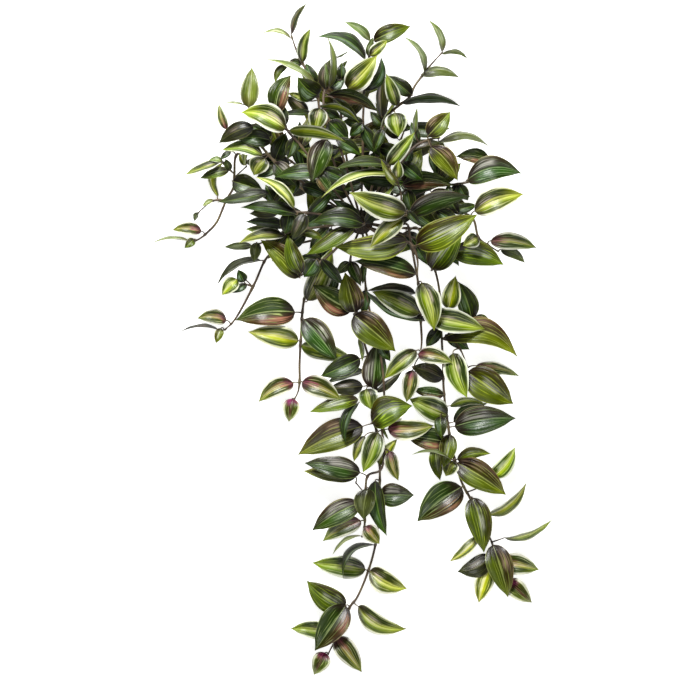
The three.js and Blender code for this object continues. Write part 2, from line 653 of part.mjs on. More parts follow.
// ---- the crown ----
function crownSolid(grow) {
  const profile = [
    [0, -grow],
    [CROWN_FOOT_RADIUS + grow, -grow],
    [CROWN_RADIUS + grow, CROWN_FOOT_HEIGHT],
    [CROWN_RADIUS + grow, CROWN_SHOULDER_HEIGHT],
    [CROWN_TOP_RADIUS + grow, CROWN_HEIGHT + grow],
    [0, CROWN_HEIGHT + grow],
  ].map(([r, z]) => new THREE.Vector2(r, z));
  const lathe = new THREE.LatheGeometry(profile, CROWN_SIDES);
  lathe.rotateX(Math.PI / 2);
  return solidFromGeometry(lathe);
}

// ---- stems ----
function startOf(from) {
  const [angle, z] = from;
  return [STEM_SUNK_TO_RADIUS * Math.cos(rad(angle)), STEM_SUNK_TO_RADIUS * Math.sin(rad(angle)), z];
}

function curveThrough(points) {
  return new THREE.CatmullRomCurve3(points.map(vec), false, 'centripetal');
}

const stepsOf = (curve) => Math.max(2, Math.ceil(curve.getLength() / STEM_STEP));

function tubeSolid(curve, radius) {
  const section = new THREE.Shape();
  for (let i = 0; i < STEM_SIDES; i += 1) {
    const angle = (2 * Math.PI * i) / STEM_SIDES;
    const [x, y] = [radius * Math.cos(angle), radius * Math.sin(angle)];
    if (i === 0) section.moveTo(x, y);
    else section.lineTo(x, y);
  }
  const tube = new THREE.ExtrudeGeometry(section, {
    steps: stepsOf(curve),
    extrudePath: curve,
    bevelEnabled: false,
  });
  return solidFromGeometry(tube);
}

// The point in the middle of a stem or its twigs that is nearest to (x, y), seen from above.
function rootOn(curves, x, y) {
  const target = new THREE.Vector2(x, y);
  let best = null;
  let bestDistance = Infinity;
  for (const curve of curves) {
    const points = curve.getSpacedPoints(stepsOf(curve));
    for (let i = 0; i + 1 < points.length; i += 1) {
      const step = points[i + 1].clone().sub(points[i]);
      const flat = new THREE.Vector2(step.x, step.y);
      const reached = new THREE.Vector2(points[i].x, points[i].y);
      const share = target.clone().sub(reached).dot(flat) / flat.lengthSq();
      const point = points[i].clone().addScaledVector(step, THREE.MathUtils.clamp(share, 0, 1));
      const distance = Math.hypot(point.x - x, point.y - y);
      if (distance < bestDistance) {
        best = point;
        bestDistance = distance;
      }
    }
  }
  return best;
}

// ---- leaves ----
function halfWidthShare(t) {
  const wave = Math.sin(Math.PI * t ** WIDEST_POINT_POWER);
  return wave ** (t < BASE_END ? BASE_ROUNDNESS : TIP_SHARPNESS);
}

// The frame and size of a leaf, bent by the shifts of its tip and base and by its arch.
function leafPose(row, root, tipShift, baseShift, arch) {
  const [bx, by, tx, ty, seen, bow, lift, rise, kind] = row;
  const base = new THREE.Vector3(bx, by, root.z + PETIOLE_RISE + lift + baseShift);
  const tip = new THREE.Vector3(tx, ty, base.z + rise + tipShift);
  const along = tip.clone().sub(base);
  const length = along.length();
  along.normalize();
  const flatLength = Math.hypot(tx - bx, ty - by);
  const byRule = THREE.MathUtils.clamp(WIDTH_TO_LENGTH * flatLength, NARROWEST_BY_RULE, WIDEST_BY_RULE);
  const width = Math.max(Math.abs(seen), byRule);
  const roll = Math.min(Math.acos(Math.abs(seen) / width), STEEPEST_ROLL) * Math.sign(seen);
  const turn = 'UG'.includes(kind) ? Math.PI - roll : roll;
  const level = UP.clone().cross(along).normalize();
  const upright = along.clone().cross(level);
  const side = level.clone().multiplyScalar(Math.cos(turn)).addScaledVector(upright, Math.sin(turn));
  const face = upright.clone().multiplyScalar(Math.cos(turn)).addScaledVector(level, -Math.sin(turn));
  return { base, tip, along, length, width, level, upright, side, face, bow, arch };
}

function midrib(pose, t) {
  const swell = 4 * t * (1 - t) * pose.length;
  return pose.base.clone()
    .addScaledVector(pose.along, pose.length * t)
    .addScaledVector(pose.level, pose.bow * swell)
    .addScaledVector(pose.upright, pose.arch * swell);
}

// One section of the leaf: left edge, upper middle, right edge, lower middle.
function section(middle, { side, face }, half, fold, thickness) {
  const left = middle.clone().addScaledVector(side, half).addScaledVector(face, fold);
  const right = middle.clone().addScaledVector(side, -half).addScaledVector(face, fold);
  const upper = middle.clone().addScaledVector(face, thickness / 2);
  const lower = middle.clone().addScaledVector(face, -thickness / 2);
  return [left, upper, right, lower];
}

// The directions of a petiole's section, square to the way that the petiole runs there.
function squareTo(direction, pose) {
  const run = direction.clone().normalize();
  const side = pose.side.clone().addScaledVector(run, -pose.side.dot(run)).normalize();
  return { side, face: run.clone().cross(side) };
}

// The blade as rings of four points that end in a tip, with its petiole sunk in the stem at root.
function leafSolid(pose, root, grow) {
  const stations = pose.width < SMALL_BLADE_WIDTH ? SMALL_BLADE_STATIONS : BLADE_STATIONS;
  const petiole = PETIOLE_HALF + grow;
  const rings = [];
  if (!root) {
    rings.push(section(pose.base, pose, petiole, 0, 2 * petiole));
  } else if (root.distanceTo(pose.base) > LONG_PETIOLE) {
    const run = pose.base.clone().sub(root).normalize();
    rings.push(section(root, squareTo(run, pose), petiole, 0, 2 * petiole));
    rings.push(section(pose.base, squareTo(run.add(pose.along), pose), petiole, 0, 2 * petiole));
  } else {
    const run = midrib(pose, stations[0]).sub(root);
    rings.push(section(root, squareTo(run, pose), petiole, 0, 2 * petiole));
  }
  for (const t of stations) {
    const half = halfWidthShare(t) * pose.width / 2;
    rings.push(section(midrib(pose, t), pose, half + grow, FOLD * half, BLADE_THICKNESS + 2 * grow));
  }
  const points = rings.flat();
  points.push(pose.tip.clone().addScaledVector(pose.along, grow));
  const triangles = [[0, 1, 2], [0, 2, 3]];
  for (let ring = 0; ring + 1 < rings.length; ring += 1) {
    const a = 4 * ring;
    const b = a + 4;
    triangles.push([a, b + 1, a + 1], [a, b, b + 1], [a + 1, b + 1, a + 2], [a + 2, b + 1, b + 2]);
    triangles.push([a + 2, b + 3, a + 3], [a + 2, b + 2, b + 3], [a + 3, b + 3, a], [a, b + 3, b]);
  }
  const last = 4 * (rings.length - 1);
  const tip = points.length - 1;
  for (let i = 0; i < 4; i += 1) triangles.push([last + i, tip, last + ((i + 1) % 4)]);
  const solid = solidFromTriangles(points, triangles);
  if (solid.volume() > 0) return solid;
  return solidFromTriangles(points, triangles.map(([a, b, c]) => [a, c, b]));
}

const BENDS = ARCHES.flatMap((arch) => BASE_SHIFTS.flatMap((base) => TIP_SHIFTS.map((tip) => ({
  arch,
  base,
  tip,
  cost: Math.abs(tip) + BASE_SHIFT_COST * Math.abs(base) + ARCH_COST * Math.abs(arch - ARCH),
})))).sort((a, b) => a.cost - b.cost);

function overlap(solid, box, others) {
  let sum = 0;
  for (const other of others) {
    if (other.box.intersectsBox(box)) sum += solid.intersect(other.solid).volume();
  }
  return sum;
}

// The leaf, bent just enough to clear the other stems' solids and, where it can be, its own stem's blades.
function placeLeaf(row, root, strangers, siblings) {
  let best = null;
  for (const bend of BENDS) {
    const pose = leafPose(row, root, bend.tip, bend.base, bend.arch);
    const probe = leafSolid(pose, root, GAP);
    const box = boxOf(probe);
    if (box.min.z < SURFACE_CLEARANCE) continue;
    if (overlap(probe, box, strangers) > 0) continue;
    const blade = leafSolid(pose, null, 0);
    const crossing = overlap(blade, boxOf(blade), siblings);
    if (!best || crossing < best.crossing) best = { pose, blade, crossing };
    if (crossing === 0) break;
  }
  return best;
}

function alternateLeaves(curve, draw) {
  const rows = [];
  const length = curve.getLength();
  let side = 1;
  for (let at = BACK_FIRST; at <= length; at += BACK_PITCH) {
    const point = curve.getPointAt(Math.min(1, at / length));
    const tangent = curve.getTangentAt(Math.min(1, at / length));
    const angle = Math.atan2(tangent.y, tangent.x) + side * rad(THREE.MathUtils.lerp(...BACK_ANGLE, draw()));
    const reach = THREE.MathUtils.lerp(...BACK_LENGTH, draw());
    const kind = BACK_KINDS[Math.floor(draw() * BACK_KINDS.length)];
    const out = new THREE.Vector2(Math.cos(angle), Math.sin(angle));
    const base = new THREE.Vector2(point.x, point.y).addScaledVector(out, BACK_PETIOLE);
    const tip = base.clone().addScaledVector(out, reach);
    const bow = BACK_BOW * (draw() - 0.5);
    rows.push([base.x, base.y, tip.x, tip.y, BACK_WIDTH_TO_LENGTH * reach, bow, 0, BACK_RISE, kind]);
    side = -side;
  }
  return rows;
}

// ---- the plant ----
const plant = new THREE.Group();
const crown = crownSolid(0);
const crownRoom = crownSolid(GAP);

const woody = new THREE.MeshStandardMaterial({ color: 0x4a3b26, roughness: 0.85, metalness: 0 });
const leafy = new THREE.MeshStandardMaterial({ color: 0x3f5a22, roughness: 0.4, metalness: 0 });

const crownMesh = new THREE.Mesh(geometryFromSolid(crown), woody);
crownMesh.name = 'crown';
plant.add(crownMesh);

const stems = [...STEMS, ...BACK_STEMS].map((stem) => {
  const main = curveThrough([startOf(stem.from), ...stem.path]);
  const twigs = (stem.twigs ?? []).map(curveThrough);
  const solids = [tubeSolid(main, STEM_RADIUS), ...twigs.map((twig) => tubeSolid(twig, TWIG_RADIUS))];
  const solid = wasm.Manifold.union(solids).subtract(crownRoom);
  return {
    name: stem.name,
    curves: [main, ...twigs],
    rows: stem.leaves ?? alternateLeaves(main, makeDraw(stem.seed)),
    pieces: [{ solid, box: boxOf(solid) }],
    blades: [],
  };
});

for (const stem of stems) {
  for (const row of stem.rows) {
    const root = rootOn(stem.curves, row[0], row[1]);
    const strangers = stems.filter((other) => other !== stem).flatMap((other) => other.pieces);
    strangers.push({ solid: crownRoom, box: boxOf(crownRoom) });
    const placed = placeLeaf(row, root, strangers, stem.blades);
    if (!placed) continue;
    const solid = leafSolid(placed.pose, root, 0);
    stem.pieces.push({ solid, box: boxOf(solid) });
    stem.blades.push({ solid: placed.blade, box: boxOf(placed.blade) });
  }
}

for (const stem of stems) {
  const solid = largestBody(wasm.Manifold.union(stem.pieces.map((piece) => piece.solid)));
  const mesh = new THREE.Mesh(geometryFromSolid(solid), leafy);
  mesh.name = stem.name;
  plant.add(mesh);
}

export default plant;
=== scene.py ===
"""A trailing tradescantia, cut at its base and laid down on a pale surface: its looks, around the CAD part.

Each leafy stem replaces its CAD node with a finer one: a round stem with swollen joints, petioles, and
folded blades. The tables and formulas are those of the part's source, in millimetres, so each leaf is
where its solid is. How far a leaf is bent clear of its neighbours is read back from the CAD node.
"""

import math

import bpy
import numpy as np
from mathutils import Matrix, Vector
from mathutils.kdtree import KDTree


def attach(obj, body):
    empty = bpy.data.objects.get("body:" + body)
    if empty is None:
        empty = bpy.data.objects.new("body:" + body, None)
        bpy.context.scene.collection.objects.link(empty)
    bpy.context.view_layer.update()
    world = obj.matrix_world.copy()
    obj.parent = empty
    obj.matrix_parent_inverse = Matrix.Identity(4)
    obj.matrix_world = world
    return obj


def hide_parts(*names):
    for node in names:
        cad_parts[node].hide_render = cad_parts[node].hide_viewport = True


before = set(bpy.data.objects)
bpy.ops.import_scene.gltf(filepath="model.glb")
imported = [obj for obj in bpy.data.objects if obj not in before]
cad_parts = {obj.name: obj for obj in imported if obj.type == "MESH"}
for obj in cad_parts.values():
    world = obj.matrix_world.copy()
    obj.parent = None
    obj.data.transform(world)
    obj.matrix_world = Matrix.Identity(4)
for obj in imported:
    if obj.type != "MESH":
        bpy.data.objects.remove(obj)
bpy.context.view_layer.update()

MM = 0.001

# ---- the photograph's frame: 700 x 700 pixels, looked at straight down ----
PIXELS = 700
MM_PER_PIXEL = 1.12
ORIGIN_PIXEL = (361, 222)
CAMERA_HEIGHT = 15.0
CAMERA_AIM_HEIGHT = 0.035
SENSOR_MM = 36.0

# ---- dimensions repeated from the part's source, in millimetres ----
STEM_STEP = 25
STEM_SUNK_TO_RADIUS = 6
PETIOLE_RISE = 2
FOLD = 0.26
ARCH = 0.1
WIDEST_POINT_POWER = 0.68
BASE_ROUNDNESS = 0.8
TIP_SHARPNESS = 0.78
BASE_END = 0.33
WIDTH_TO_LENGTH = 0.4
WIDEST_BY_RULE = 27
NARROWEST_BY_RULE = 9
STEEPEST_ROLL = 1.36
BLADE_THICKNESS = 1.0
BLADE_STATIONS = [0.16, 0.42, 0.74]
SMALL_BLADE_STATIONS = [0.2, 0.58]
SMALL_BLADE_WIDTH = 24
TIP_SHIFTS = [0, 5, -5, 10, -10, 16, -16, 23, -23, 31, -31, 40, -40, 50, -50]
BASE_SHIFTS = [0, 3, -3, 7, -7, 12, -12, 18, -18]
ARCHES = [ARCH, 0.2, 0.02, 0.3]
BASE_SHIFT_COST = 1.6
ARCH_COST = 60
BACK_FIRST = 26
BACK_PITCH = 17
BACK_LENGTH = [42, 56]
BACK_WIDTH_TO_LENGTH = 0.4
BACK_ANGLE = [35, 75]
BACK_PETIOLE = 5
BACK_BOW = 0.1
BACK_RISE = 2
BACK_KINDS = "DDOUDDB"
SHOW_UNDERSIDE = "UG"

# ---- finer dimensions of the looks, in millimetres ----
STEM_RADIUS = 1.35
TWIG_RADIUS = 1.1
STEM_TIP_RADIUS = 0.6
STEM_TAPER = 25
STEM_SIDES = 10
STEM_SPACING = 2.5
OFF_ANY_STEM = [0.3, 0.2, 1.0]
JOINT_SWELL = 0.55
JOINT_LENGTH = 2.2
PETIOLE_ROOT_RADIUS = 0.85
PETIOLE_TOP_RADIUS = 0.62
PETIOLE_SIDES = 6
PETIOLE_STEPS = 7
LEAF_THICKNESS = 0.5
LEAF_RINGS = 18
LEAF_COLUMNS = 13
FOLD_POWER = 1.2
CROSS_SWELL = 0.1
EDGE_THINNING_POWER = 6
RING_SPACING_POWER = 1.15
VEIN_RELIEF = 0.012
VEIN_RIDGES = 3
EDGE_WAVE = 0.045
EDGE_WAVES = 2.2
EDGE_WAVE_OFFSET = 0.4
DRAWN_OUT_FROM = 0.8
DRAWN_OUT = 0.45
PETIOLE_IN_LINE = 0.45
PETIOLE_BEND_BACK = 0.15
PETIOLE_INTO_BLADE = 0.03
MATCH_TOLERANCE = 0.06
LEAST_MATCH = 0.5

# ---- the looks ----
LOOKS_SEED = 771
# The back stems' leaves are darkened as painted shade: their seeds, which set each leaf's lightness, are
# drawn no higher than this.
BACK_PAINTED_SHADE_LIGHTEST = 0.35
LEAF_SATURATION = 1.16
LEAF_NOISE_APART = 37.0
BORDER_DRIFT = 0.16
BORDER_STREAKS = 0.12
STRIPE_WAVER = 2.2
VEINS_PER_STRIPE = 2.3
# Where each of these fades, as the value at which it is absent and the value from which it is whole.
BASE_FADE = (1.0, 0.85)
TINT_AND_SHEEN_FADE = (0.42, 0.1)
TINT_AND_SHEEN_STREAK_FADE = (0.38, 0.6)
STRIPE_FADE = (0.66, 0.98)
STRIPE_EDGE_FADE = (0.95, 0.85)
STRIPE_BREAK_FADE = (0.36, 0.58)
RIB_FADE = (0.055, 0.02)
# A slope and a start: by the leaf's seed, by the mottle or by the fine veins.
LIGHT_BY_LEAF = (0.5, 0.72)
LIGHT_BY_MOTTLE = (1.1, 0.43)
LIGHT_BY_VEIN = (0.09, 1.0)
HUE_BY_LEAF = (0.03, 0.485)
ROUGHNESS_BY_MOTTLE = (0.4, 0.16)

# ---- the stage, in metres and watts ----
FLOOR_SIZE = 60
FLOOR_DROP = 0.0006
FLOOR_GLOW = 0.85
WORLD_STRENGTH = 0.035
LIGHTS_AIM = (0, -0.1, 0)
# Each light: its name, place, diameter and power.
LIGHTS = [
    ("key", (-0.4, 1.5, 1.6), 0.7, 63),
    ("front", (0.3, -0.5, 2.6), 1.2, 7),
    ("low", (0.5, -1.7, 1.2), 0.7, 9),
]


def read_rows(text):
    """The rows of a text, which semicolons part. Each word is a number or the letter of a kind."""
    return [[word if word.isalpha() else float(word) for word in row.split()] for row in text.split(";")]


def spray(name, direction, height, path, twigs=(), leaves="", seed=None):
    """A stem of the tables below, which leaves the crown in a direction in degrees, at a height.

    path: the points that it passes, x y z. twigs: side stems, each starting on the path. leaves: base x,
    base y, tip x, tip y, width seen from above, sideways bow, lift of the base above the stem, height of
    the tip above the base, and kind. seed: for a stem whose leaves are drawn.
    """
    return {
        "name": "stem_" + name,
        "from": (direction, height),
        "path": read_rows(path),
        "twigs": [read_rows(twig) for twig in twigs],
        "leaves": read_rows(leaves) if leaves else [],
        "seed": seed,
    }


# ---- the stems, as in the part's source ----
STEMS = [
    spray("front_middle", 20, 27, "22 7 50; 40 8 70; 49 10 78",
          twigs=["40 8 70; 45 26 76; 40 45 76; 31 62 70"], leaves="""
        50 10 -13 33 30 0.04 4 6 V; 46 3 10 -29 21 -0.04 3 0 Y; 40 44 5 12 4 0.1 3 12 P;
        30 64 60 100 18 0 2 4 V; 40 48 42 69 14 0 4 6 V; 31 62 -30 58 12 -0.08 1 -2 D;
        37 51 -45 26 10 -0.12 3 2 Y; 40 44 -6 46 19 -0.08 -2 -6 D; 42 40 22 70 9 0.1 3 6 O;
        52 12 66 -4 9 0 -2 -6 D
    """),
    spray("front_low", -40, 27, "24 -16 46; 42 -22 60; 56 -25 64; 63 -42 62; 63 -60 56", leaves="""
        52 -22 -30 -28 30 0.05 5 4 O; 61 -59 -8 -44 24 -0.03 4 -4 R; 62 -26 130 8 34 -0.02 5 8 O
    """),
    spray("right_far", 5, 27, """
        30 5 46; 54 8 54; 82 14 56; 108 12 50; 125 4 44; 132 -18 34; 143 -26 28; 154 -33 24
    """, leaves="""
        54 9 123 28 22 0.11 6 6 S; 127 12 182 31 29 0.08 4 -4 V; 131 -17 114 -27 18 0 3 4 V;
        145 -21 197 -29 20 0.08 3 -6 Q; 157 -31 184 -46 12 0.12 2 -6 G; 108 11 98 44 14 0.1 2 -8 D;
        84 14 113 -4 15 0 2 -10 D; 102 12 130 19 13 0 0 -4 D
    """),
    spray("heart", 250, 30, "-2 -3 48; 2 -4 64; 4 -2 72", twigs=["2 -4 64; -6 -8 70"], leaves="""
        3 -3 -56 -2 22 -0.12 4 -4 D; -2 3 -31 25 14 0 -4 -10 D; -8 -7 -62 -37 18 0.03 3 -6 O;
        4 -1 38 30 14 0.05 0 -6 D
    """),
    spray("top_mid_left", 105, 27, """
        -10 38 58; -20 72 68; -30 100 68; -41 128 62; -42 140 58; -33 168 48
    """, twigs=["-33 168 48; -29 184 44"], leaves="""
        -46 129 -2 110 7 0.2 5 2 Y; -46 127 -52 100 22 0 5 2 V; -36 150 -38 208 8 -0.07 3 -8 P;
        -39 148 -34 182 15 0.12 1 -4 U; -39 150 -40 178 5 0 0 0 P; -22 160 -22 178 11 0 0 0 D;
        -29 184 -14 191 2 0 0 2 P; -27 170 -15 181 5 0 0 0 P; -36 143 20 122 16 0.14 3 -2 R;
        -30 138 -2 112 14 0 -2 -6 D; -38 92 -54 44 26 -0.05 3 -4 S; -27 92 0 74 15 0.05 0 -4 D;
        -36 112 -14 90 24 0 1 -3 D; -24 82 -62 72 16 0 -2 -6 D; -44 128 -22 114 14 0 -3 -4 D;
        -34 150 -18 162 16 0 -2 -2 D
    """),
    spray("upper_left", 132, 27, "-26 30 58; -48 58 72; -68 86 76; -82 102 74; -87 118 68",
          twigs=["-82 102 74; -106 118 60; -129 131 50"], leaves="""
        -84 104 -134 122 29 -0.13 4 -8 V; -80 102 -17 89 14 0.1 6 6 Y; -95 122 -78 164 24 0.12 2 -10 R;
        -126 128 -122 173 21 0 2 -4 P; -132 131 -153 134 3 0 1 -2 P; -121 107 -159 88 20 -0.07 0 -8 U;
        -66 84 -54 122 16 0 -2 -12 O; -44 54 -96 50 18 -0.05 0 -10 D; -42 58 -14 46 16 0 0 -6 D;
        -48 52 -32 30 14 0 2 -4 R; -84 108 -102 142 18 0 -2 -10 D; -74 94 -82 70 14 0 -4 -6 D
    """),
    spray("left_mid", 172, 27, "-32 6 50; -58 10 60; -80 12 58; -96 18 52; -110 29 46", leaves="""
        -72 8 -135 16 15 -0.04 3 -8 D; -92 12 -125 9 14 0 2 -4 U; -80 10 -85 -14 18 0 3 -4 D;
        -104 32 -161 22 15 0.02 2 -8 D; -75 15 -118 50 13 -0.1 3 -2 Y; -60 8 -30 36 14 0 -2 -8 D;
        -97 20 -72 42 14 0 0 -4 O; -62 8 -77 -20 17 0 3 2 U; -96 20 -107 42 13 0 -3 -2 D
    """),
    spray("upper_right", 58, 27, "22 32 50; 44 64 60; 60 84 60; 76 92 56; 89 94 52", leaves="""
        75 96 100 123 23 0 3 -4 B; 60 100 63 128 6 0.06 2 0 P; 88 90 144 83 10 0.22 3 -6 G;
        78 84 108 46 24 0.08 4 -6 B; 56 82 40 50 15 0 -2 -6 D; 46 66 70 46 17 0 -2 -4 D;
        64 88 56 112 11 0 -2 -6 D; 80 80 85 52 13 0 -4 -8 D; 34 50 6 66 15 0 -2 -6 R
    """),
    spray("right_high", 38, 20, """
        34 26 34; 60 38 38; 88 42 40; 106 42 42; 122 46 42; 140 60 38
    """, leaves="""
        47 42 104 40 20 0.13 8 6 R; 48 44 68 82 22 0 4 -6 O; 119 47 180 54 29 0.17 4 -4 S;
        144 68 106 73 18 -0.1 3 2 R; 108 42 96 12 14 0 -2 -10 D; 109 42 120 24 13 0 -2 -8 D;
        52 36 57 10 15 0 0 -4 D; 88 44 112 66 16 0 -1 -6 O
    """),
    spray("left_low", 194, 20, """
        -34 -4 34; -62 -8 38; -86 -12 38; -108 -22 30; -122 -27 26
    """, leaves="""
        -84 -6 -130 0 13 -0.04 4 -2 D; -90 -14 -130 -8 12 -0.03 2 -6 O;
        -86 -16 -137 -24 14 -0.08 5 -2 V; -122 -27 -154 -28 9 0.02 2 -4 G;
        -117 -23 -120 -45 13 0 2 -4 G; -62 -12 -92 -36 16 0 -2 -8 D; -60 -4 -96 22 16 0 -3 -8 D;
        -66 -12 -42 -20 10 0.1 3 0 O; -36 -6 -58 -30 15 0 -2 -6 D
    """),
    spray("low_left", 226, 20, "-22 -24 32; -44 -44 38; -62 -56 38; -70 -62 36", leaves="""
        -69 -62 -113 -20 26 -0.07 4 0 B; -67 -58 -82 -14 20 0.05 7 6 O; -50 -42 -64 -62 20 0 3 -4 D;
        -44 -44 -68 -38 13 0 -2 -4 D; -44 -42 -20 -70 14 0 -2 -8 D
    """),
    spray("top_middle", 89, 20, """
        1 42 36; 2 78 46; 2 108 50; 3 132 50; 4 156 46; 9 184 40; 12 203 36
    """, twigs=["3 132 50; -8 146 50"], leaves="""
        -15 149 18 186 29 -0.02 5 6 V; 4 147 22 186 13 -0.18 4 -2 D; 5 182 -50 207 15 -0.17 2 -4 D;
        10 203 -19 224 11 -0.08 2 -2 P; 14 203 56 219 20 0.04 3 -4 O; 10 186 30 204 14 0 1 0 V;
        2 108 22 72 15 0 -2 -8 D; 2 110 -13 96 13 0 1 -4 D; 8 186 13 207 9 0 0 0 G;
        3 110 -20 113 14 0 -1 -4 D; 1 52 -26 62 14 0 -1 -6 D; 2 45 -20 36 14 0 -2 -4 D;
        2 82 28 96 13 0 -2 -4 D
    """),
    spray("left_high", 152, 20, """
        -38 24 38; -68 46 46; -97 68 48; -114 88 44; -126 103 40; -149 103 34
    """, leaves="""
        -151 104 -159 132 11 0.06 2 -2 Q; -101 91 -137 92 20 -0.08 4 -4 D;
        -100 97 -127 109 14 0 -2 -4 D; -92 62 -117 50 12 0 -2 -4 D; -110 74 -156 80 17 -0.14 3 -6 V;
        -107 71 -120 52 23 -0.12 4 -4 V; -97 66 -72 40 20 0 4 2 S; -126 96 -131 62 8 0 1 -8 Y;
        -65 40 -30 25 16 0.05 2 4 D; -96 70 -84 100 20 0 -2 -4 D; -70 48 -92 26 17 0 -2 -6 D
    """),
    spray("top_right", 73, 13, """
        13 42 26; 18 70 34; 22 92 38; 26 114 40; 38 127 40; 55 141 38; 60 152 36; 68 163 34; 79 177 30;
        91 190 26
    """, leaves="""
        23 118 26 168 14 0.05 4 4 U; 21 92 44 142 7 0.1 3 4 Y; 40 130 28 166 16 0 6 6 V;
        57 142 30 164 17 0 3 -2 D; 46 134 112 129 11 0.15 3 -6 D; 68 165 111 161 12 0.17 2 -6 G;
        71 167 46 208 8 -0.14 2 -2 P; 91 191 75 227 9 -0.1 1 -2 P; 91 189 120 182 6 0.22 1 -4 P;
        38 122 42 95 26 0 8 4 V; 26 112 58 104 16 0 -2 -4 D; 24 104 14 78 13 0 1 -2 D;
        18 82 -32 70 16 -0.14 4 2 O; 19 78 -3 64 9 0.1 3 0 R; 20 84 50 74 17 0 -2 -6 D;
        26 106 10 124 13 0 -2 -2 D
    """),
    spray("top_left", 118, 13, """
        -20 40 26; -36 84 38; -46 120 42; -50 150 40; -65 177 36; -73 194 32; -78 209 30
    """, leaves="""
        -79 206 -111 211 6 -0.15 1 -2 P; -78 211 -60 245 8 0.15 1 -2 Q; -66 179 -56 217 13 0.12 2 0 V;
        -52 154 -107 182 8 -0.07 4 -4 P; -82 176 -96 155 9 -0.16 2 -4 O; -67 176 -82 178 9 -0.15 0 -2 D;
        -51 153 -62 178 14 0 3 2 D; -48 142 -71 162 27 0.1 2 -2 D; -62 136 -82 144 9 -0.05 3 0 V;
        -60 121 -84 141 16 0 2 0 U; -56 122 -92 120 8 0 4 2 D
    """),
    spray("left_trail", 168, 6, """
        -44 22 16; -86 52 22; -122 78 22; -139 76 20; -142 54 16; -143 39 13; -151 25 10; -162 0 5;
        -172 -11 3; -182 -19 2; -190 -22 2
    """,
          twigs=[
              "-142 54 16; -154 65 18",
              "-142 50 15; -128 63 16",
              "-150 25 10; -166 24 9; -178 15 7; -183 10 6",
          ], leaves="""
        -144 46 -109 35 24 0 3 4 D; -158 67 -198 53 10 0 2 -8 V; -155 68 -171 69 7 -0.1 1 -2 P;
        -148 58 -181 49 12 -0.02 0 -4 O; -161 29 -151 69 10 0.3 1 6 Y; -147 58 -152 71 9 0 2 2 G;
        -146 79 -158 70 7 0 0 0 D; -129 64 -137 77 9 0 0 2 Y; -166 25 -178 18 6 0 0 0 P;
        -183 11 -187 1 6 0 0 0 G; -179 -10 -212 -9 15 -0.1 2 0 Q; -192 -22 -234 -23 4 -0.08 1 4 P;
        -187 -19 -198 -29 10 0 0 3 O
    """),
    spray("left_low_trail", 211, 6, """
        -46 -18 12; -84 -28 14; -104 -38 12; -119 -68 8; -133 -95 5; -143 -111 3; -153 -121 2
    """, leaves="""
        -112 -43 -162 -72 9 -0.14 2 0 G; -131 -67 -138 -53 12 0 2 3 D; -139 -64 -156 -82 18 -0.05 2 2 Y;
        -128 -70 -147 -79 9 0 0 0 D; -151 -110 -184 -108 18 -0.12 2 2 Q;
        -160 -121 -203 -123 3 -0.1 2 4 U; -157 -119 -163 -136 10 0 1 3 O; -86 -28 -112 -8 14 0 0 0 D;
        -88 -32 -100 -44 11 0 0 0 D
    """),
    spray("right_low", -10, 17, "32 -8 23; 60 -18 28; 86 -24 30; 104 -32 28", leaves="""
        103 -33 160 -48 29 0.09 3 -6 O; 72 -22 96 8 15 0 0 -4 D; 92 -26 118 -2 12 0 0 -4 D
    """),
    spray("below_middle", -34, 20, """
        28 -12 30; 51 -2 34; 55 -18 36; 59 -40 36; 64 -68 34; 66 -92 30; 67 -112 26; 68 -135 22;
        66 -150 20
    """, leaves="""
        68 -68 82 -122 28 0.05 7 0 V; 66 -102 12 -78 27 -0.03 4 -2 V; 71 -110 3 -75 13 0.12 0 -4 D;
        75 -106 139 -120 28 0.02 5 -6 V; 64 -148 103 -158 20 0.08 4 4 Q;
        62 -144 26 -176 21 -0.04 3 -2 V; 58 -166 51 -202 20 0 2 -2 Q; 62 -28 72 -44 12 0 -2 -6 D;
        61 -80 6 -77 12 -0.04 1 -2 U
    """),
    spray("below_right", 312, 13, """
        44 -14 20; 62 -6 24; 72 -26 24; 83 -54 26; 88 -78 22; 90 -120 16; 92 -160 12; 93 -190 9;
        99 -236 6; 105 -266 4; 114 -294 2.6; 124 -312 2; 138 -340 2; 146 -357 2; 149 -366 2
    """,
          twigs=[
              "90 -116 16; 108 -112 18; 124 -108 18",
              "91 -130 15; 108 -138 18; 120 -163 16",
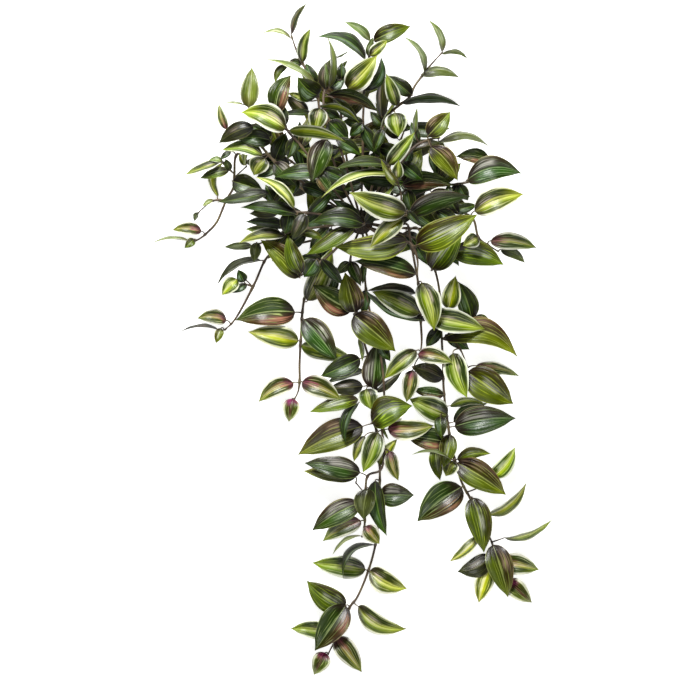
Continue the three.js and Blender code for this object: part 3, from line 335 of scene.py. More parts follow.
          ], leaves="""
        79 -53 113 -1 32 0 10 8 O; 98 -97 106 -60 22 0 4 6 Y; 124 -109 108 -66 24 -0.05 2 2 D;
        127 -107 146 -117 12 0.1 1 -2 G; 94 -129 176 -152 31 0.22 2 -4 B; 96 -126 122 -143 15 0 -2 -4 D;
        88 -119 73 -140 15 0 -2 -4 D; 92 -175 56 -162 21 -0.04 1 -3 U; 93 -194 58 -188 14 0 0 -3 R;
        103 -147 119 -197 28 -0.06 6 4 V; 119 -168 171 -204 38 0 2 -3 O;
        129 -161 178 -173 14 0.09 4 3 Q; 97 -217 54 -198 29 0 4 4 V; 100 -206 141 -205 10 0.16 3 3 Y;
        105 -229 174 -220 33 0.05 4 2 S; 104 -224 142 -203 16 0.1 0 0 R; 89 -218 90 -243 15 0 8 6 D;
        94 -246 50 -240 26 -0.02 2 0 R; 100 -238 92 -276 20 0.02 5 4 O; 84 -252 89 -290 16 -0.05 2 0 O;
        103 -268 95 -285 20 0 4 3 V; 100 -266 56 -261 3 -0.12 2 4 P; 108 -266 146 -260 14 0.14 2 3 O;
        108 -270 163 -306 32 0.03 3 2 B; 147 -286 173 -252 20 -0.09 0 2 Y;
        113 -297 63 -336 36 -0.05 2 2 R; 125 -309 138 -371 29 0.04 4 2 O;
        143 -328 186 -291 14 -0.11 2 6 Y; 161 -354 215 -333 10 -0.08 2 8 V;
        131 -354 99 -381 13 0.06 0 2 Y; 145 -376 108 -392 24 0.11 2 2 U;
        148 -362 165 -421 30 0.02 4 4 B; 158 -381 200 -390 25 0.03 1 2 Q; 164 -402 192 -427 22 0 1 2 M;
        143 -390 132 -427 22 -0.02 0 2 Y
    """),
    spray("below_long", 268, 6, """
        -8 -24 12; -12 -44 16; -9 -75 15; -4 -105 12; 5 -140 9; 13 -165 8; 17 -190 7; 14 -208 7;
        14 -222 7; 19 -240 7; 21 -270 6; 21 -300 5; 20 -330 4; 17 -358 3; 9 -389 2; -5 -422 2;
        -12 -431 2; -22 -455 2; -32 -475 2; -38 -487 2
    """, leaves="""
        -12 -44 0 -72 14 0 10 4 S; -13 -45 -28 -58 12 0 8 0 G; -10 -99 -54 -70 30 0.05 6 4 R;
        -7 -101 -18 -56 28 0 10 10 B; -8 -104 39 -145 35 0.01 6 2 B; -2 -130 1 -157 6 0.1 0 0 P;
        13 -186 18 -134 28 0 2 2 S; 17 -190 46 -168 9 0 2 2 U; -1 -153 -46 -173 24 0.01 2 2 D;
        3 -167 -40 -182 11 -0.04 4 2 G; 2 -184 -37 -187 19 0 2 0 U; 6 -187 11 -210 24 0 7 4 V;
        -3 -199 -58 -213 17 0 3 2 O; -3 -203 -17 -248 12 -0.15 8 8 D; 2 -229 -71 -261 35 -0.05 2 2 B;
        12 -225 58 -206 34 0.14 3 3 O; 30 -232 82 -228 26 -0.04 2 2 Q; 19 -236 2 -281 25 0.02 6 4 V;
        4 -240 -8 -269 12 -0.05 2 0 V; 20 -272 41 -243 15 0.05 4 4 Y; 32 -257 42 -290 17 -0.04 4 2 Q;
        21 -306 60 -306 27 0 4 4 S; 16 -290 29 -352 21 -0.05 3 2 D; 16 -362 -20 -401 9 -0.26 5 4 D;
        5 -390 -55 -382 26 0 2 3 V; 10 -391 52 -411 28 -0.1 2 3 V; -18 -432 -61 -402 29 0.07 3 4 O;
        -3 -431 52 -456 24 -0.15 2 4 V; -17 -430 -52 -481 33 0 5 4 R; -36 -461 -79 -456 21 -0.05 1 2 V;
        -28 -466 1 -505 25 0.02 2 3 Q; -40 -483 -53 -508 21 0 1 2 M
    """),
    spray("below_side", 278, 13, """
        4 -30 24; 5 -70 26; 12 -110 24; 22 -150 20; 26 -195 18; 23 -228 17; 26 -255 16; 22 -278 15;
        8 -284 14; 5 -305 12; 4 -340 9; 1 -354 7
    """, twigs=["5 -305 12; -6 -292 12"], leaves="""
        -1 -281 -64 -270 24 -0.02 4 2 S; -6 -286 -65 -279 19 0.01 0 -2 B;
        -2 -315 -55 -346 27 -0.05 2 -2 S; 8 -299 3 -334 24 -0.06 5 2 G; 0 -335 -43 -358 22 -0.08 4 0 Q;
        5 -341 21 -361 20 0 4 2 Q; 1 -352 -32 -373 5 -0.12 6 8 P; 4 -46 2 -70 8 0 2 0 D;
        23 -226 31 -244 4 0 0 0 P; 5 -76 3 -106 13 0 -2 -2 D; 20 -136 33 -156 13 0 -2 0 D
    """),
    spray("below_left", 240, 6, """
        -28 -30 14; -50 -56 12; -62 -80 8; -66 -103 4; -67 -120 2; -68 -138 2; -69 -160 2; -69 -180 2;
        -71 -191 2; -75 -199 2
    """, leaves="""
        -60 -88 -32 -28 26 -0.02 10 14 V; -38 -82 -27 -50 18 0 4 4 D; -74 -101 -141 -110 33 -0.07 3 3 R;
        -70 -133 -127 -123 26 -0.01 2 3 Y; -64 -109 -27 -155 30 0.02 4 3 S;
        -67 -138 -8 -153 21 0.02 1 1 Y; -76 -180 -115 -202 22 -0.12 2 3 Q;
        -66 -179 -22 -199 25 0.06 2 6 Q; -77 -198 -81 -224 20 0 1 3 M
    """),
]

# Short stems behind the bush. Their leaves grow alternately left and right, each turned away from the stem
# by a draw from the stem's seed, and are painted darker, as shade deep in the bush.
BACK_STEMS = [
    spray("back_top", 102, 6, "-10 40 10; -18 84 14; -22 128 14; -12 156 12", seed=1420),
    spray("back_top_right", 66, 6, "26 50 10; 42 86 14; 52 112 14", seed=2896),
    spray("back_right", 26, 6, "38 20 10; 74 36 14; 98 44 12", seed=21),
    spray("back_right_low", -6, 6, "40 -6 10; 70 -8 14; 92 -14 10", seed=248),
    spray("back_left", 148, 6, "-40 32 10; -68 60 10; -94 80 12", seed=2697),
    spray("back_left_low", 190, 6, "-40 -2 10; -74 0 12; -90 4 10", seed=428),
    spray("back_below", 300, 6, "14 -32 8; 20 -44 8", seed=2267),
]


# ---- curves, worked out as the part's source does ----
class Curve:
    """A centripetal Catmull-Rom curve through points, measured along its length."""

    DIVISIONS = 200
    NUDGE = 1e-4

    def __init__(self, points):
        self.points = [np.array(p, float) for p in points]
        samples = [self.point(i / self.DIVISIONS) for i in range(self.DIVISIONS + 1)]
        steps = [np.linalg.norm(b - a) for a, b in zip(samples, samples[1:])]
        self.lengths = np.concatenate([[0.0], np.cumsum(steps)])
        self.length = self.lengths[-1]

    def point(self, t):
        pts = self.points
        place = (len(pts) - 1) * t
        i = min(int(place), len(pts) - 2)
        weight = place - i
        p1, p2 = pts[i], pts[i + 1]
        p0 = pts[i - 1] if i > 0 else 2 * pts[0] - pts[1]
        p3 = pts[i + 2] if i + 2 < len(pts) else 2 * pts[-1] - pts[-2]
        d0, d1, d2 = (np.linalg.norm(b - a) ** 0.5 for a, b in ((p0, p1), (p1, p2), (p2, p3)))
        m1 = ((p1 - p0) / d0 - (p2 - p0) / (d0 + d1) + (p2 - p1) / d1) * d1
        m2 = ((p2 - p1) / d1 - (p3 - p1) / (d1 + d2) + (p3 - p2) / d2) * d1
        c2 = -3 * p1 + 3 * p2 - 2 * m1 - m2
        c3 = 2 * p1 - 2 * p2 + m1 + m2
        return p1 + m1 * weight + c2 * weight**2 + c3 * weight**3

    def place(self, share):
        """The parameter of point() at a share of the length."""
        target = share * self.length
        i = min(int(np.searchsorted(self.lengths, target, side="right")) - 1, self.DIVISIONS - 1)
        rest = (target - self.lengths[i]) / (self.lengths[i + 1] - self.lengths[i])
        return (i + rest) / self.DIVISIONS

    def point_at(self, share):
        return self.point(self.place(share))

    def tangent_at(self, share):
        t = self.place(share)
        step = self.point(min(1, t + self.NUDGE)) - self.point(max(0, t - self.NUDGE))
        return unit(step)

    def spaced(self, count):
        return [self.point_at(i / count) for i in range(count + 1)]


def nearest_on(polylines, x, y):
    """The point of the polylines that is nearest to (x, y), seen from above."""
    best, best_distance = None, math.inf
    for points in polylines:
        for a, b in zip(points, points[1:]):
            step = b - a
            share = ((x - a[0]) * step[0] + (y - a[1]) * step[1]) / (step[0] ** 2 + step[1] ** 2)
            point = a + step * min(1, max(0, share))
            distance = math.hypot(point[0] - x, point[1] - y)
            if distance < best_distance:
                best, best_distance = point, distance
    return best


# ---- leaves, worked out as the part's source does ----
def unit(v):
    return v / np.linalg.norm(v)


def half_width_share(t):
    """The blade's half width at t along it, as a share of its widest."""
    wave = math.sin(math.pi * t**WIDEST_POINT_POWER)
    return max(0.0, wave) ** (BASE_ROUNDNESS if t < BASE_END else TIP_SHARPNESS)


class Pose:
    """The frame and size of a leaf, bent by the shifts of its tip and base and by its arch."""

    def __init__(self, row, root_z, tip_shift, base_shift, arch):
        bx, by, tx, ty, seen, bow, lift, rise, kind = row
        self.base = np.array([bx, by, root_z + PETIOLE_RISE + lift + base_shift], float)
        self.tip = np.array([tx, ty, self.base[2] + rise + tip_shift], float)
        self.length = np.linalg.norm(self.tip - self.base)
        self.along = (self.tip - self.base) / self.length
        by_rule = WIDTH_TO_LENGTH * math.hypot(tx - bx, ty - by)
        by_rule = min(WIDEST_BY_RULE, max(NARROWEST_BY_RULE, by_rule))
        self.width = max(seen, by_rule)
        roll = min(math.acos(seen / self.width), STEEPEST_ROLL)
        turn = math.pi - roll if kind in SHOW_UNDERSIDE else roll
        self.level = unit(np.cross([0, 0, 1], self.along))
        self.upright = np.cross(self.along, self.level)
        self.side = self.level * math.cos(turn) + self.upright * math.sin(turn)
        self.face = self.upright * math.cos(turn) - self.level * math.sin(turn)
        self.bow, self.arch = bow, arch

    def midrib(self, t):
        swell = 4 * t * (1 - t) * self.length
        rise = self.level * self.bow + self.upright * self.arch
        return self.base + self.along * self.length * t + rise * swell

    def solid_points(self):
        """The points that the leaf's solid has in the part's source, its tip first."""
        points = [self.tip]
        small = self.width < SMALL_BLADE_WIDTH
        for t in SMALL_BLADE_STATIONS if small else BLADE_STATIONS:
            half = half_width_share(t) * self.width / 2
            middle = self.midrib(t)
            points += [
                middle + self.side * half + self.face * FOLD * half,
                middle - self.side * half + self.face * FOLD * half,
                middle + self.face * BLADE_THICKNESS / 2,
            ]
        return points


# The bends that a leaf may have, the slightest first: cost, tip shift, base shift and arch.
BENDS = sorted(
    (
        (abs(tip) + BASE_SHIFT_COST * abs(base) + ARCH_COST * abs(arch - ARCH), tip, base, arch)
        for arch in ARCHES
        for base in BASE_SHIFTS
        for tip in TIP_SHIFTS
    ),
    key=lambda bend: bend[0],
)


def cad_points(node):
    """The vertices of a CAD node, in millimetres, as a tree to search."""
    tree = KDTree(len(node.data.vertices))
    for i, vertex in enumerate(node.data.vertices):
        tree.insert(vertex.co / MM, i)
    tree.balance()
    return tree


def bent_pose(row, root, tree):
    """The leaf as its CAD node has it: the bend whose points are most found among the node's."""
    best, best_share = Pose(row, root[2], 0, 0, ARCH), 0.0
    for _, tip, base, arch in BENDS:
        tip_z = root[2] + PETIOLE_RISE + row[6] + base + row[7] + tip
        if tree.find((row[2], row[3], tip_z))[2] > MATCH_TOLERANCE:
            continue
        pose = Pose(row, root[2], tip, base, arch)
        near = [tree.find(p)[2] < MATCH_TOLERANCE for p in pose.solid_points()]
        if sum(near) / len(near) > best_share:
            best, best_share = pose, sum(near) / len(near)
        if best_share == 1:
            break
    return best, best_share


def make_draw(seed):
    """A repeatable draw from 0 to 1, the same as in the part's source."""
    state = float(seed)

    def draw():
        nonlocal state
        state = (state * 1103515245.0 + 12345.0) % 2147483648.0
        return state / 2147483648.0

    return draw


def alternate_leaves(curve, draw):
    """Leaf rows along a stem, left and right in turn, each drawn."""
    rows, side, at = [], 1, BACK_FIRST
    while at <= curve.length:
        share = min(1, at / curve.length)
        point, tangent = curve.point_at(share), curve.tangent_at(share)
        spread = BACK_ANGLE[0] + (BACK_ANGLE[1] - BACK_ANGLE[0]) * draw()
        angle = math.atan2(tangent[1], tangent[0]) + side * math.radians(spread)
        reach = BACK_LENGTH[0] + (BACK_LENGTH[1] - BACK_LENGTH[0]) * draw()
        kind = BACK_KINDS[int(draw() * len(BACK_KINDS))]
        out = np.array([math.cos(angle), math.sin(angle)])
        base = point[:2] + out * BACK_PETIOLE
        tip = base + out * reach
        bow = BACK_BOW * (draw() - 0.5)
        rows.append([*base, *tip, BACK_WIDTH_TO_LENGTH * reach, bow, 0, BACK_RISE, kind])
        side = -side
        at += BACK_PITCH
    return rows


# ---- materials ----
class Nodes:
    """A short way to write a material's node tree."""

    def __init__(self, name):
        self.material = bpy.data.materials.new(name)
        self.material.use_nodes = True
        self.tree = self.material.node_tree
        self.shader = self.tree.nodes["Principled BSDF"]

    def add(self, kind, inputs=None, **settings):
        node = self.tree.nodes.new(kind)
        for key, value in settings.items():
            setattr(node, key, value)
        for key, value in (inputs or {}).items():
            self.put(value, node.inputs[key])
        return node

    def put(self, value, socket):
        if isinstance(value, bpy.types.NodeSocket):
            self.tree.links.new(value, socket)
        else:
            socket.default_value = value

    def attribute(self, name):
        return self.add("ShaderNodeAttribute", attribute_name=name).outputs["Fac"]

    def math(self, operation, *values):
        node = self.add("ShaderNodeMath", operation=operation)
        for socket, value in zip(node.inputs, values):
            self.put(value, socket)
        return node.outputs[0]

    def times(self, a, b):
        return self.math("MULTIPLY", a, b)

    def plus(self, a, b):
        return self.math("ADD", a, b)

    def line(self, value, slope, start):
        return self.math("MULTIPLY_ADD", value, slope, start)

    def vector(self, x, y, z):
        return self.add("ShaderNodeCombineXYZ", {"X": x, "Y": y, "Z": z}).outputs[0]

    def noise(self, vector, scale=1.0, detail=2.0, roughness=0.5):
        inputs = {"Vector": vector, "Scale": scale, "Detail": detail, "Roughness": roughness}
        return self.add("ShaderNodeTexNoise", inputs).outputs["Fac"]

    def between(self, value, low, high):
        """Smoothly from 0 at low to 1 at high, also where low is the greater."""
        inputs = {"Value": value, "From Min": low, "From Max": high}
        node = self.add("ShaderNodeMapRange", inputs, interpolation_type="SMOOTHSTEP")
        return node.outputs[0]

    def ramp(self, value, stops):
        node = self.add("ShaderNodeValToRGB", {"Fac": value})
        node.color_ramp.interpolation = "LINEAR"
        elements = node.color_ramp.elements
        while len(elements) < len(stops):
            elements.new(1)
        for element, (place, colour) in zip(elements, stops):
            element.position, element.color = place, srgb(colour)
        return node.outputs[0]

    def mix(self, share, a, b):
        node = self.add("ShaderNodeMix", data_type="RGBA")
        self.put(share, node.inputs[0])
        self.put(a, node.inputs[6])
        self.put(b, node.inputs[7])
        return node.outputs[2]

    def bump(self, height, strength, distance):
        inputs = {"Height": height, "Strength": strength, "Distance": distance}
        self.put(self.add("ShaderNodeBump", inputs).outputs[0], self.shader.inputs["Normal"])

    def surface(self, colour, roughness, **fixed):
        self.put(colour, self.shader.inputs["Base Color"])
        self.put(roughness, self.shader.inputs["Roughness"])
        for name, value in fixed.items():
            self.shader.inputs[name.replace("_", " ")].default_value = value


def srgb(text):
    """A colour written as six hex digits, in linear light."""
    parts = [int(text[i : i + 2], 16) / 255 for i in (0, 2, 4)]
    return (*(p / 12.92 if p <= 0.04045 else ((p + 0.055) / 1.055) ** 2.4 for p in parts), 1)


# How each kind of leaf looks. across: the colours from its lower edge to its upper edge, as the plant
# lies; on S and B leaves the brownish upper half is partly their own colour and partly painted reflection
# of the light. rib: its midrib line, and how strong. stripe: the colour of its fine lengthwise stripes, how
# strong they are and how many on each side. base: the colour next to its petiole, how strong, and how far
# up the blade it reaches. tip: the colour at its tip, how strong, and where it starts. The tint and sheen
# patch: a streaked patch of painted sheen, on R leaves partly their own terracotta band and on Q and M
# leaves their own pink; its colour, how strong, how far up the blade and how far across its middle is, and
# its half length.
LOOKS = {
    "V": {
        "across": [(0, "FBFBEE"), (0.08, "F2F4DC"), (0.12, "56652A"), (0.22, "405019"), (0.34, "7E9232"),
            (0.43, "C9D084"), (0.49, "9DAE3C"), (0.55, "C6CC78"), (0.61, "3A4717"), (0.89, "2C3814"),
            (0.93, "E6EACA"), (1, "FAFBF0")],
        "rib": ("565C22", 0.6), "stripe": ("D2DA98", 0.6, 4.0), "base": ("302616", 0.8, 0.24),
        "tip": ("B6C652", 0.6, 0.55), "tint_and_sheen": ("EAD9CE", 0.65, 0.35, 0.15, 0.2),
    },
    "Y": {
        "across": [(0, "F8F9E4"), (0.08, "E6EBC4"), (0.12, "3E4E18"), (0.26, "566C1E"), (0.36, "A3B43A"),
            (0.5, "D2D868"), (0.58, "EEF0AE"), (0.65, "76892E"), (0.86, "35441A"), (0.91, "E6EBC4"),
            (1, "F9FAE8")],
        "rib": ("F2F4B8", 0.7), "stripe": ("E6EC8E", 0.7, 4.0), "base": ("4A5018", 0.6, 0.3),
        "tip": ("E0E88C", 0.4, 0.7), "tint_and_sheen": ("F4F6D0", 0.6, 0.5, 0.25, 0.25),
    },
    "D": {
        "across": [(0, "66783F"), (0.04, "212D0D"), (0.3, "2B4011"), (0.48, "365216"), (0.52, "232F0E"),
            (0.78, "1E240D"), (0.96, "28290F"), (1, "808C56")],
        "rib": ("8EA162", 0.6), "stripe": ("688638", 0.6, 4.5), "base": ("17110A", 0.92, 0.27),
        "tip": ("4E641E", 0.5, 0.75), "tint_and_sheen": ("9FB29A", 0.6, 0.5, -0.4, 0.3),
    },
    "O": {
        "across": [(0, "B4BF6C"), (0.04, "52610F"), (0.3, "60731B"), (0.48, "4F5E18"), (0.52, "475415"),
            (0.78, "434614"), (0.96, "4A4019"), (1, "AEB474")],
        "rib": ("B8C66A", 0.6), "stripe": ("BACB62", 0.8, 4.5), "base": ("2A1C0F", 0.92, 0.27),
        "tip": ("98AA42", 0.5, 0.7), "tint_and_sheen": ("E2E4D0", 0.75, 0.5, 0.1, 0.3),
    },
    "B": {
        "across": [(0, "B8BE78"), (0.04, "56631A"), (0.3, "66761D"), (0.48, "505918"), (0.52, "47481A"),
            (0.78, "46381A"), (0.96, "513E25"), (1, "A89A6C")],
        "rib": ("BEC678", 0.6), "stripe": ("BCC872", 0.75, 4.5), "base": ("24160E", 0.95, 0.34),
        "tip": ("A2AE4C", 0.6, 0.7), "tint_and_sheen": ("B69E88", 0.7, 0.35, 0.5, 0.25),
    },
    "R": {
        "across": [(0, "B0A47C"), (0.04, "372B12"), (0.16, "4E3A1E"), (0.3, "3B3312"), (0.46, "2D3711"),
            (0.54, "324C14"), (0.7, "334A12"), (0.96, "2A3910"), (1, "98A870")],
        "rib": ("AEBC86", 0.65), "stripe": ("A9B87C", 0.7, 4.0), "base": ("20140C", 0.92, 0.28),
        "tip": ("445218", 0.5, 0.7), "tint_and_sheen": ("BE8F78", 0.75, 0.36, -0.62, 0.26),
    },
    "S": {
        "across": [(0, "8A9A5C"), (0.04, "2A3B11"), (0.3, "35531A"), (0.48, "344F1A"), (0.54, "2D3514"),
            (0.75, "322F18"), (0.95, "3A2E1D"), (1, "A49C7C")],
        "rib": ("A2B680", 0.6), "stripe": ("A6BA88", 0.65, 4.5), "base": ("261A12", 0.92, 0.28),
        "tip": ("36421A", 0.7, 0.65), "tint_and_sheen": ("DDD8CE", 0.9, 0.4, 0.45, 0.3),
    },
    "P": {
        "across": [(0, "E6EACC"), (0.12, "627436"), (0.4, "82964A"), (0.5, "C2CC92"), (0.6, "6C8038"),
            (0.9, "4E5E28"), (1, "DEE2C0")],
        "rib": ("5A6826", 0.5), "stripe": ("B4C08A", 0.55, 3.0), "base": ("4E4026", 0.6, 0.3),
        "tip": ("8FA052", 0.5, 0.7), "tint_and_sheen": ("D8DEC4", 0.6, 0.5, 0.2, 0.3),
    },
    "Q": {
        "across": [(0, "FAF8EA"), (0.09, "F0F1D8"), (0.13, "46521C"), (0.32, "35420F"), (0.41, "9C9A50"),
            (0.5, "DCD2A4"), (0.58, "8E8A44"), (0.66, "3A420F"), (0.86, "3E4A18"), (0.9, "EEEDD8"),
            (1, "FAF8EE")],
        "rib": ("4A3A20", 0.6), "stripe": ("D6DCA8", 0.7, 4.0), "base": ("4E2430", 0.85, 0.26),
        "tip": ("A4B44E", 0.6, 0.6), "tint_and_sheen": ("BC6A84", 0.9, 0.26, 0.05, 0.28),
    },
    "M": {
        "across": [(0, "FAFAE8"), (0.12, "E8ECC4"), (0.16, "56661C"), (0.4, "3C480F"), (0.5, "5E3A34"),
            (0.6, "38300F"), (0.82, "4E5C1C"), (0.87, "E6EAC6"), (1, "FAF9EE")],
        "rib": ("4A3018", 0.6), "stripe": ("BCC884", 0.7, 4.0), "base": ("7E3256", 0.85, 0.3),
        "tip": ("D0DAA0", 0.6, 0.65), "tint_and_sheen": ("C66A92", 0.85, 0.2, 0.4, 0.24),
    },
}
# The undersides: brown-purple, and grey-green.
UNDERSIDES = {
    "purple": {
        "across": [(0, "7A7850"), (0.06, "2A2A12"), (0.5, "2E3014"), (0.94, "221F10"), (1, "6E6C48")],
        "rib": ("7C7A50", 0.7), "stripe": ("6C7438", 0.7, 5.0), "base": ("17120A", 0.85, 0.32),
        "tip": ("465020", 0.6, 0.65), "tint_and_sheen": ("9C8C82", 0.7, 0.5, 0.3, 0.3),
    },
    "grey": {
        "across": [(0, "A4AC76"), (0.06, "47502A"), (0.5, "57622E"), (0.94, "38401C"), (1, "9CA270")],
        "rib": ("A2AC72", 0.7), "stripe": ("93A06A", 0.7, 5.0), "base": ("262412", 0.8, 0.4),
        "tip": ("5E6A30", 0.5, 0.65), "tint_and_sheen": ("C2C8A8", 0.5, 0.5, 0.3, 0.3),
    },
}
# The looks of a leaf's upper side and underside, where they aren't its own kind's and grey.
UPPER = {"U": "D", "G": "O"}
LOWER = {"U": "purple", "D": "purple", "R": "purple", "B": "purple", "S": "purple"}


def leaf_material(name, look):
    """The skin of a leaf, from where a point is across and along its blade and from the leaf's own seed."""
    n = Nodes(name)
    across, along, seed = n.attribute("across"), n.attribute("along"), n.attribute("seed")
    out = n.math("ABSOLUTE", across)
    far = n.times(seed, LEAF_NOISE_APART)

    def grain(first, first_scale, second, second_scale, detail=1.0):
        where = n.vector(n.times(first, first_scale), n.times(second, second_scale), far)
        return n.noise(where, 1.0, detail)

    streak = grain(across, 13.0, along, 1.2, 2.0)
    uneven = n.math("SUBTRACT", streak, 0.5)
    drift = n.math("SUBTRACT", n.noise(n.vector(n.times(along, 4.0), far, across), 1.0, 1.0), 0.5)
    mottle = grain(along, 3.0, across, 1.5, 2.0)

    # the colours across the blade, whose borders run out in streaks
    place = n.plus(n.plus(across, n.times(drift, BORDER_DRIFT)), n.times(uneven, BORDER_STREAKS))
    colour = n.ramp(n.line(place, 0.5, 0.5), look["across"])

    # the base, dark, and the tip
    reached = n.plus(along, n.times(uneven, 0.5))
    base_colour, base_strength, base_reach = look["base"]
    base_share = n.times(n.between(reached, base_reach, 0.35 * base_reach), base_strength)
    base_share = n.times(base_share, n.between(out, *BASE_FADE))
    colour = n.mix(base_share, colour, srgb(base_colour))
    tip_colour, tip_strength, tip_from = look["tip"]
    colour = n.mix(n.times(n.between(reached, tip_from, 1.0), tip_strength), colour, srgb(tip_colour))

    # the streaked tint and sheen patch: painted sheen where the light lies on the blade, and the R, Q and M
    # leaves' own terracotta and pink bands
    tint_and_sheen_colour, tint_and_sheen_strength, up, over, reach = look["tint_and_sheen"]
    beside = n.math("ABSOLUTE", n.math("SUBTRACT", place, over))
    beyond = n.math("ABSOLUTE", n.math("SUBTRACT", reached, n.line(drift, 0.5, up)))
    tint_and_sheen = n.times(n.between(beside, *TINT_AND_SHEEN_FADE), n.between(beyond, reach, 0.2 * reach))
    tint_and_sheen = n.times(tint_and_sheen, n.between(streak, *TINT_AND_SHEEN_STREAK_FADE))
    colour = n.mix(n.times(tint_and_sheen, tint_and_sheen_strength), colour, srgb(tint_and_sheen_colour))

    # fine stripes along the blade, fading in and out along their length
    stripe_colour, stripe_strength, count = look["stripe"]
    waver = grain(along, 1.6, across, 2.5)
    turns = n.plus(n.times(out, count), n.times(waver, STRIPE_WAVER))
    wave = n.math("SINE", n.times(turns, 2 * math.pi))
    stripes = n.times(n.between(wave, *STRIPE_FADE), n.between(out, *STRIPE_EDGE_FADE))
    stripes = n.times(stripes, n.between(grain(across, 7.0, along, 2.5), *STRIPE_BREAK_FADE))
    stripes = n.times(stripes, n.between(reached, 0.5 * base_reach, base_reach))
    colour = n.mix(n.times(stripes, stripe_strength), colour, srgb(stripe_colour))

    # the line of the midrib
    rib_colour, rib_strength = look["rib"]
    colour = n.mix(n.times(n.between(out, *RIB_FADE), rib_strength), colour, srgb(rib_colour))

    # each leaf a little lighter or darker by its seed, darkest on the back stems as painted shade; mottled
    # and finely veined
    light = n.times(n.line(seed, *LIGHT_BY_LEAF), n.line(mottle, *LIGHT_BY_MOTTLE))
    veins = n.math("SINE", n.times(turns, 2 * math.pi * VEINS_PER_STRIPE))
    light = n.times(light, n.line(veins, *LIGHT_BY_VEIN))
    hue = n.line(n.math("FRACT", n.times(seed, 7.3)), *HUE_BY_LEAF)
    tone = {"Hue": hue, "Saturation": LEAF_SATURATION, "Value": light, "Color": colour}
    toned = n.add("ShaderNodeHueSaturation", tone).outputs[0]
    roughness = n.line(mottle, *ROUGHNESS_BY_MOTTLE)
    n.surface(toned, roughness, Specular_IOR_Level=0.4, Coat_Weight=0.12, Coat_Roughness=0.15)
    n.bump(n.line(wave, 0.12, streak), 0.7, 0.0008)
    return n.material


def noise_in_place(n, *settings):
    """Noise that is fixed to where the piece is, not to its leaves."""
    return n.noise(n.add("ShaderNodeTexCoord").outputs["Object"], *settings)


def stem_material():
    n = Nodes("stem_skin")
    blotch, grain = noise_in_place(n, 45.0, 3.0), noise_in_place(n, 900.0, 2.0)
    colour = n.ramp(blotch, [(0.3, "3C2F22"), (0.5, "665440"), (0.62, "7A6A4A"), (0.8, "978C58")])
    n.surface(n.mix(n.times(grain, 0.35), colour, srgb("17110D")), 0.5)
    n.bump(grain, 0.4, 0.0003)
    return n.material


def crown_material():
    n = Nodes("crown_fibre")
    where = n.add("ShaderNodeTexCoord").outputs["Object"]
    stretched = n.add("ShaderNodeMapping", {"Vector": where, "Scale": (1, 1, 0.15)}).outputs[0]
    fibre = n.noise(stretched, 700.0, 4.0, 0.65)
    colour = n.mix(n.noise(where, 90.0, 2.0), srgb("3A2A1A"), srgb("5E4A30"))
    n.surface(n.mix(n.between(fibre, 0.4, 0.7), srgb("1E1610"), colour), 0.85)
    n.bump(fibre, 0.8, 0.001)
    return n.material


def floor_material():
    n = Nodes("pale_floor")
    n.surface(n.mix(noise_in_place(n, 60.0, 2.0), srgb("F6F6F4"), srgb("FAFAF9")), 0.9)
    n.shader.inputs["Emission Color"].default_value = srgb("FFFFFF")
    n.shader.inputs["Emission Strength"].default_value = FLOOR_GLOW
    return n.material


STEM_SKIN = stem_material()
LEAF_SKINS = {kind: leaf_material("leaf_" + kind.lower(), look) for kind, look in LOOKS.items()}
UNDER_SKINS = {kind: leaf_material("leaf_under_" + kind, look) for kind, look in UNDERSIDES.items()}


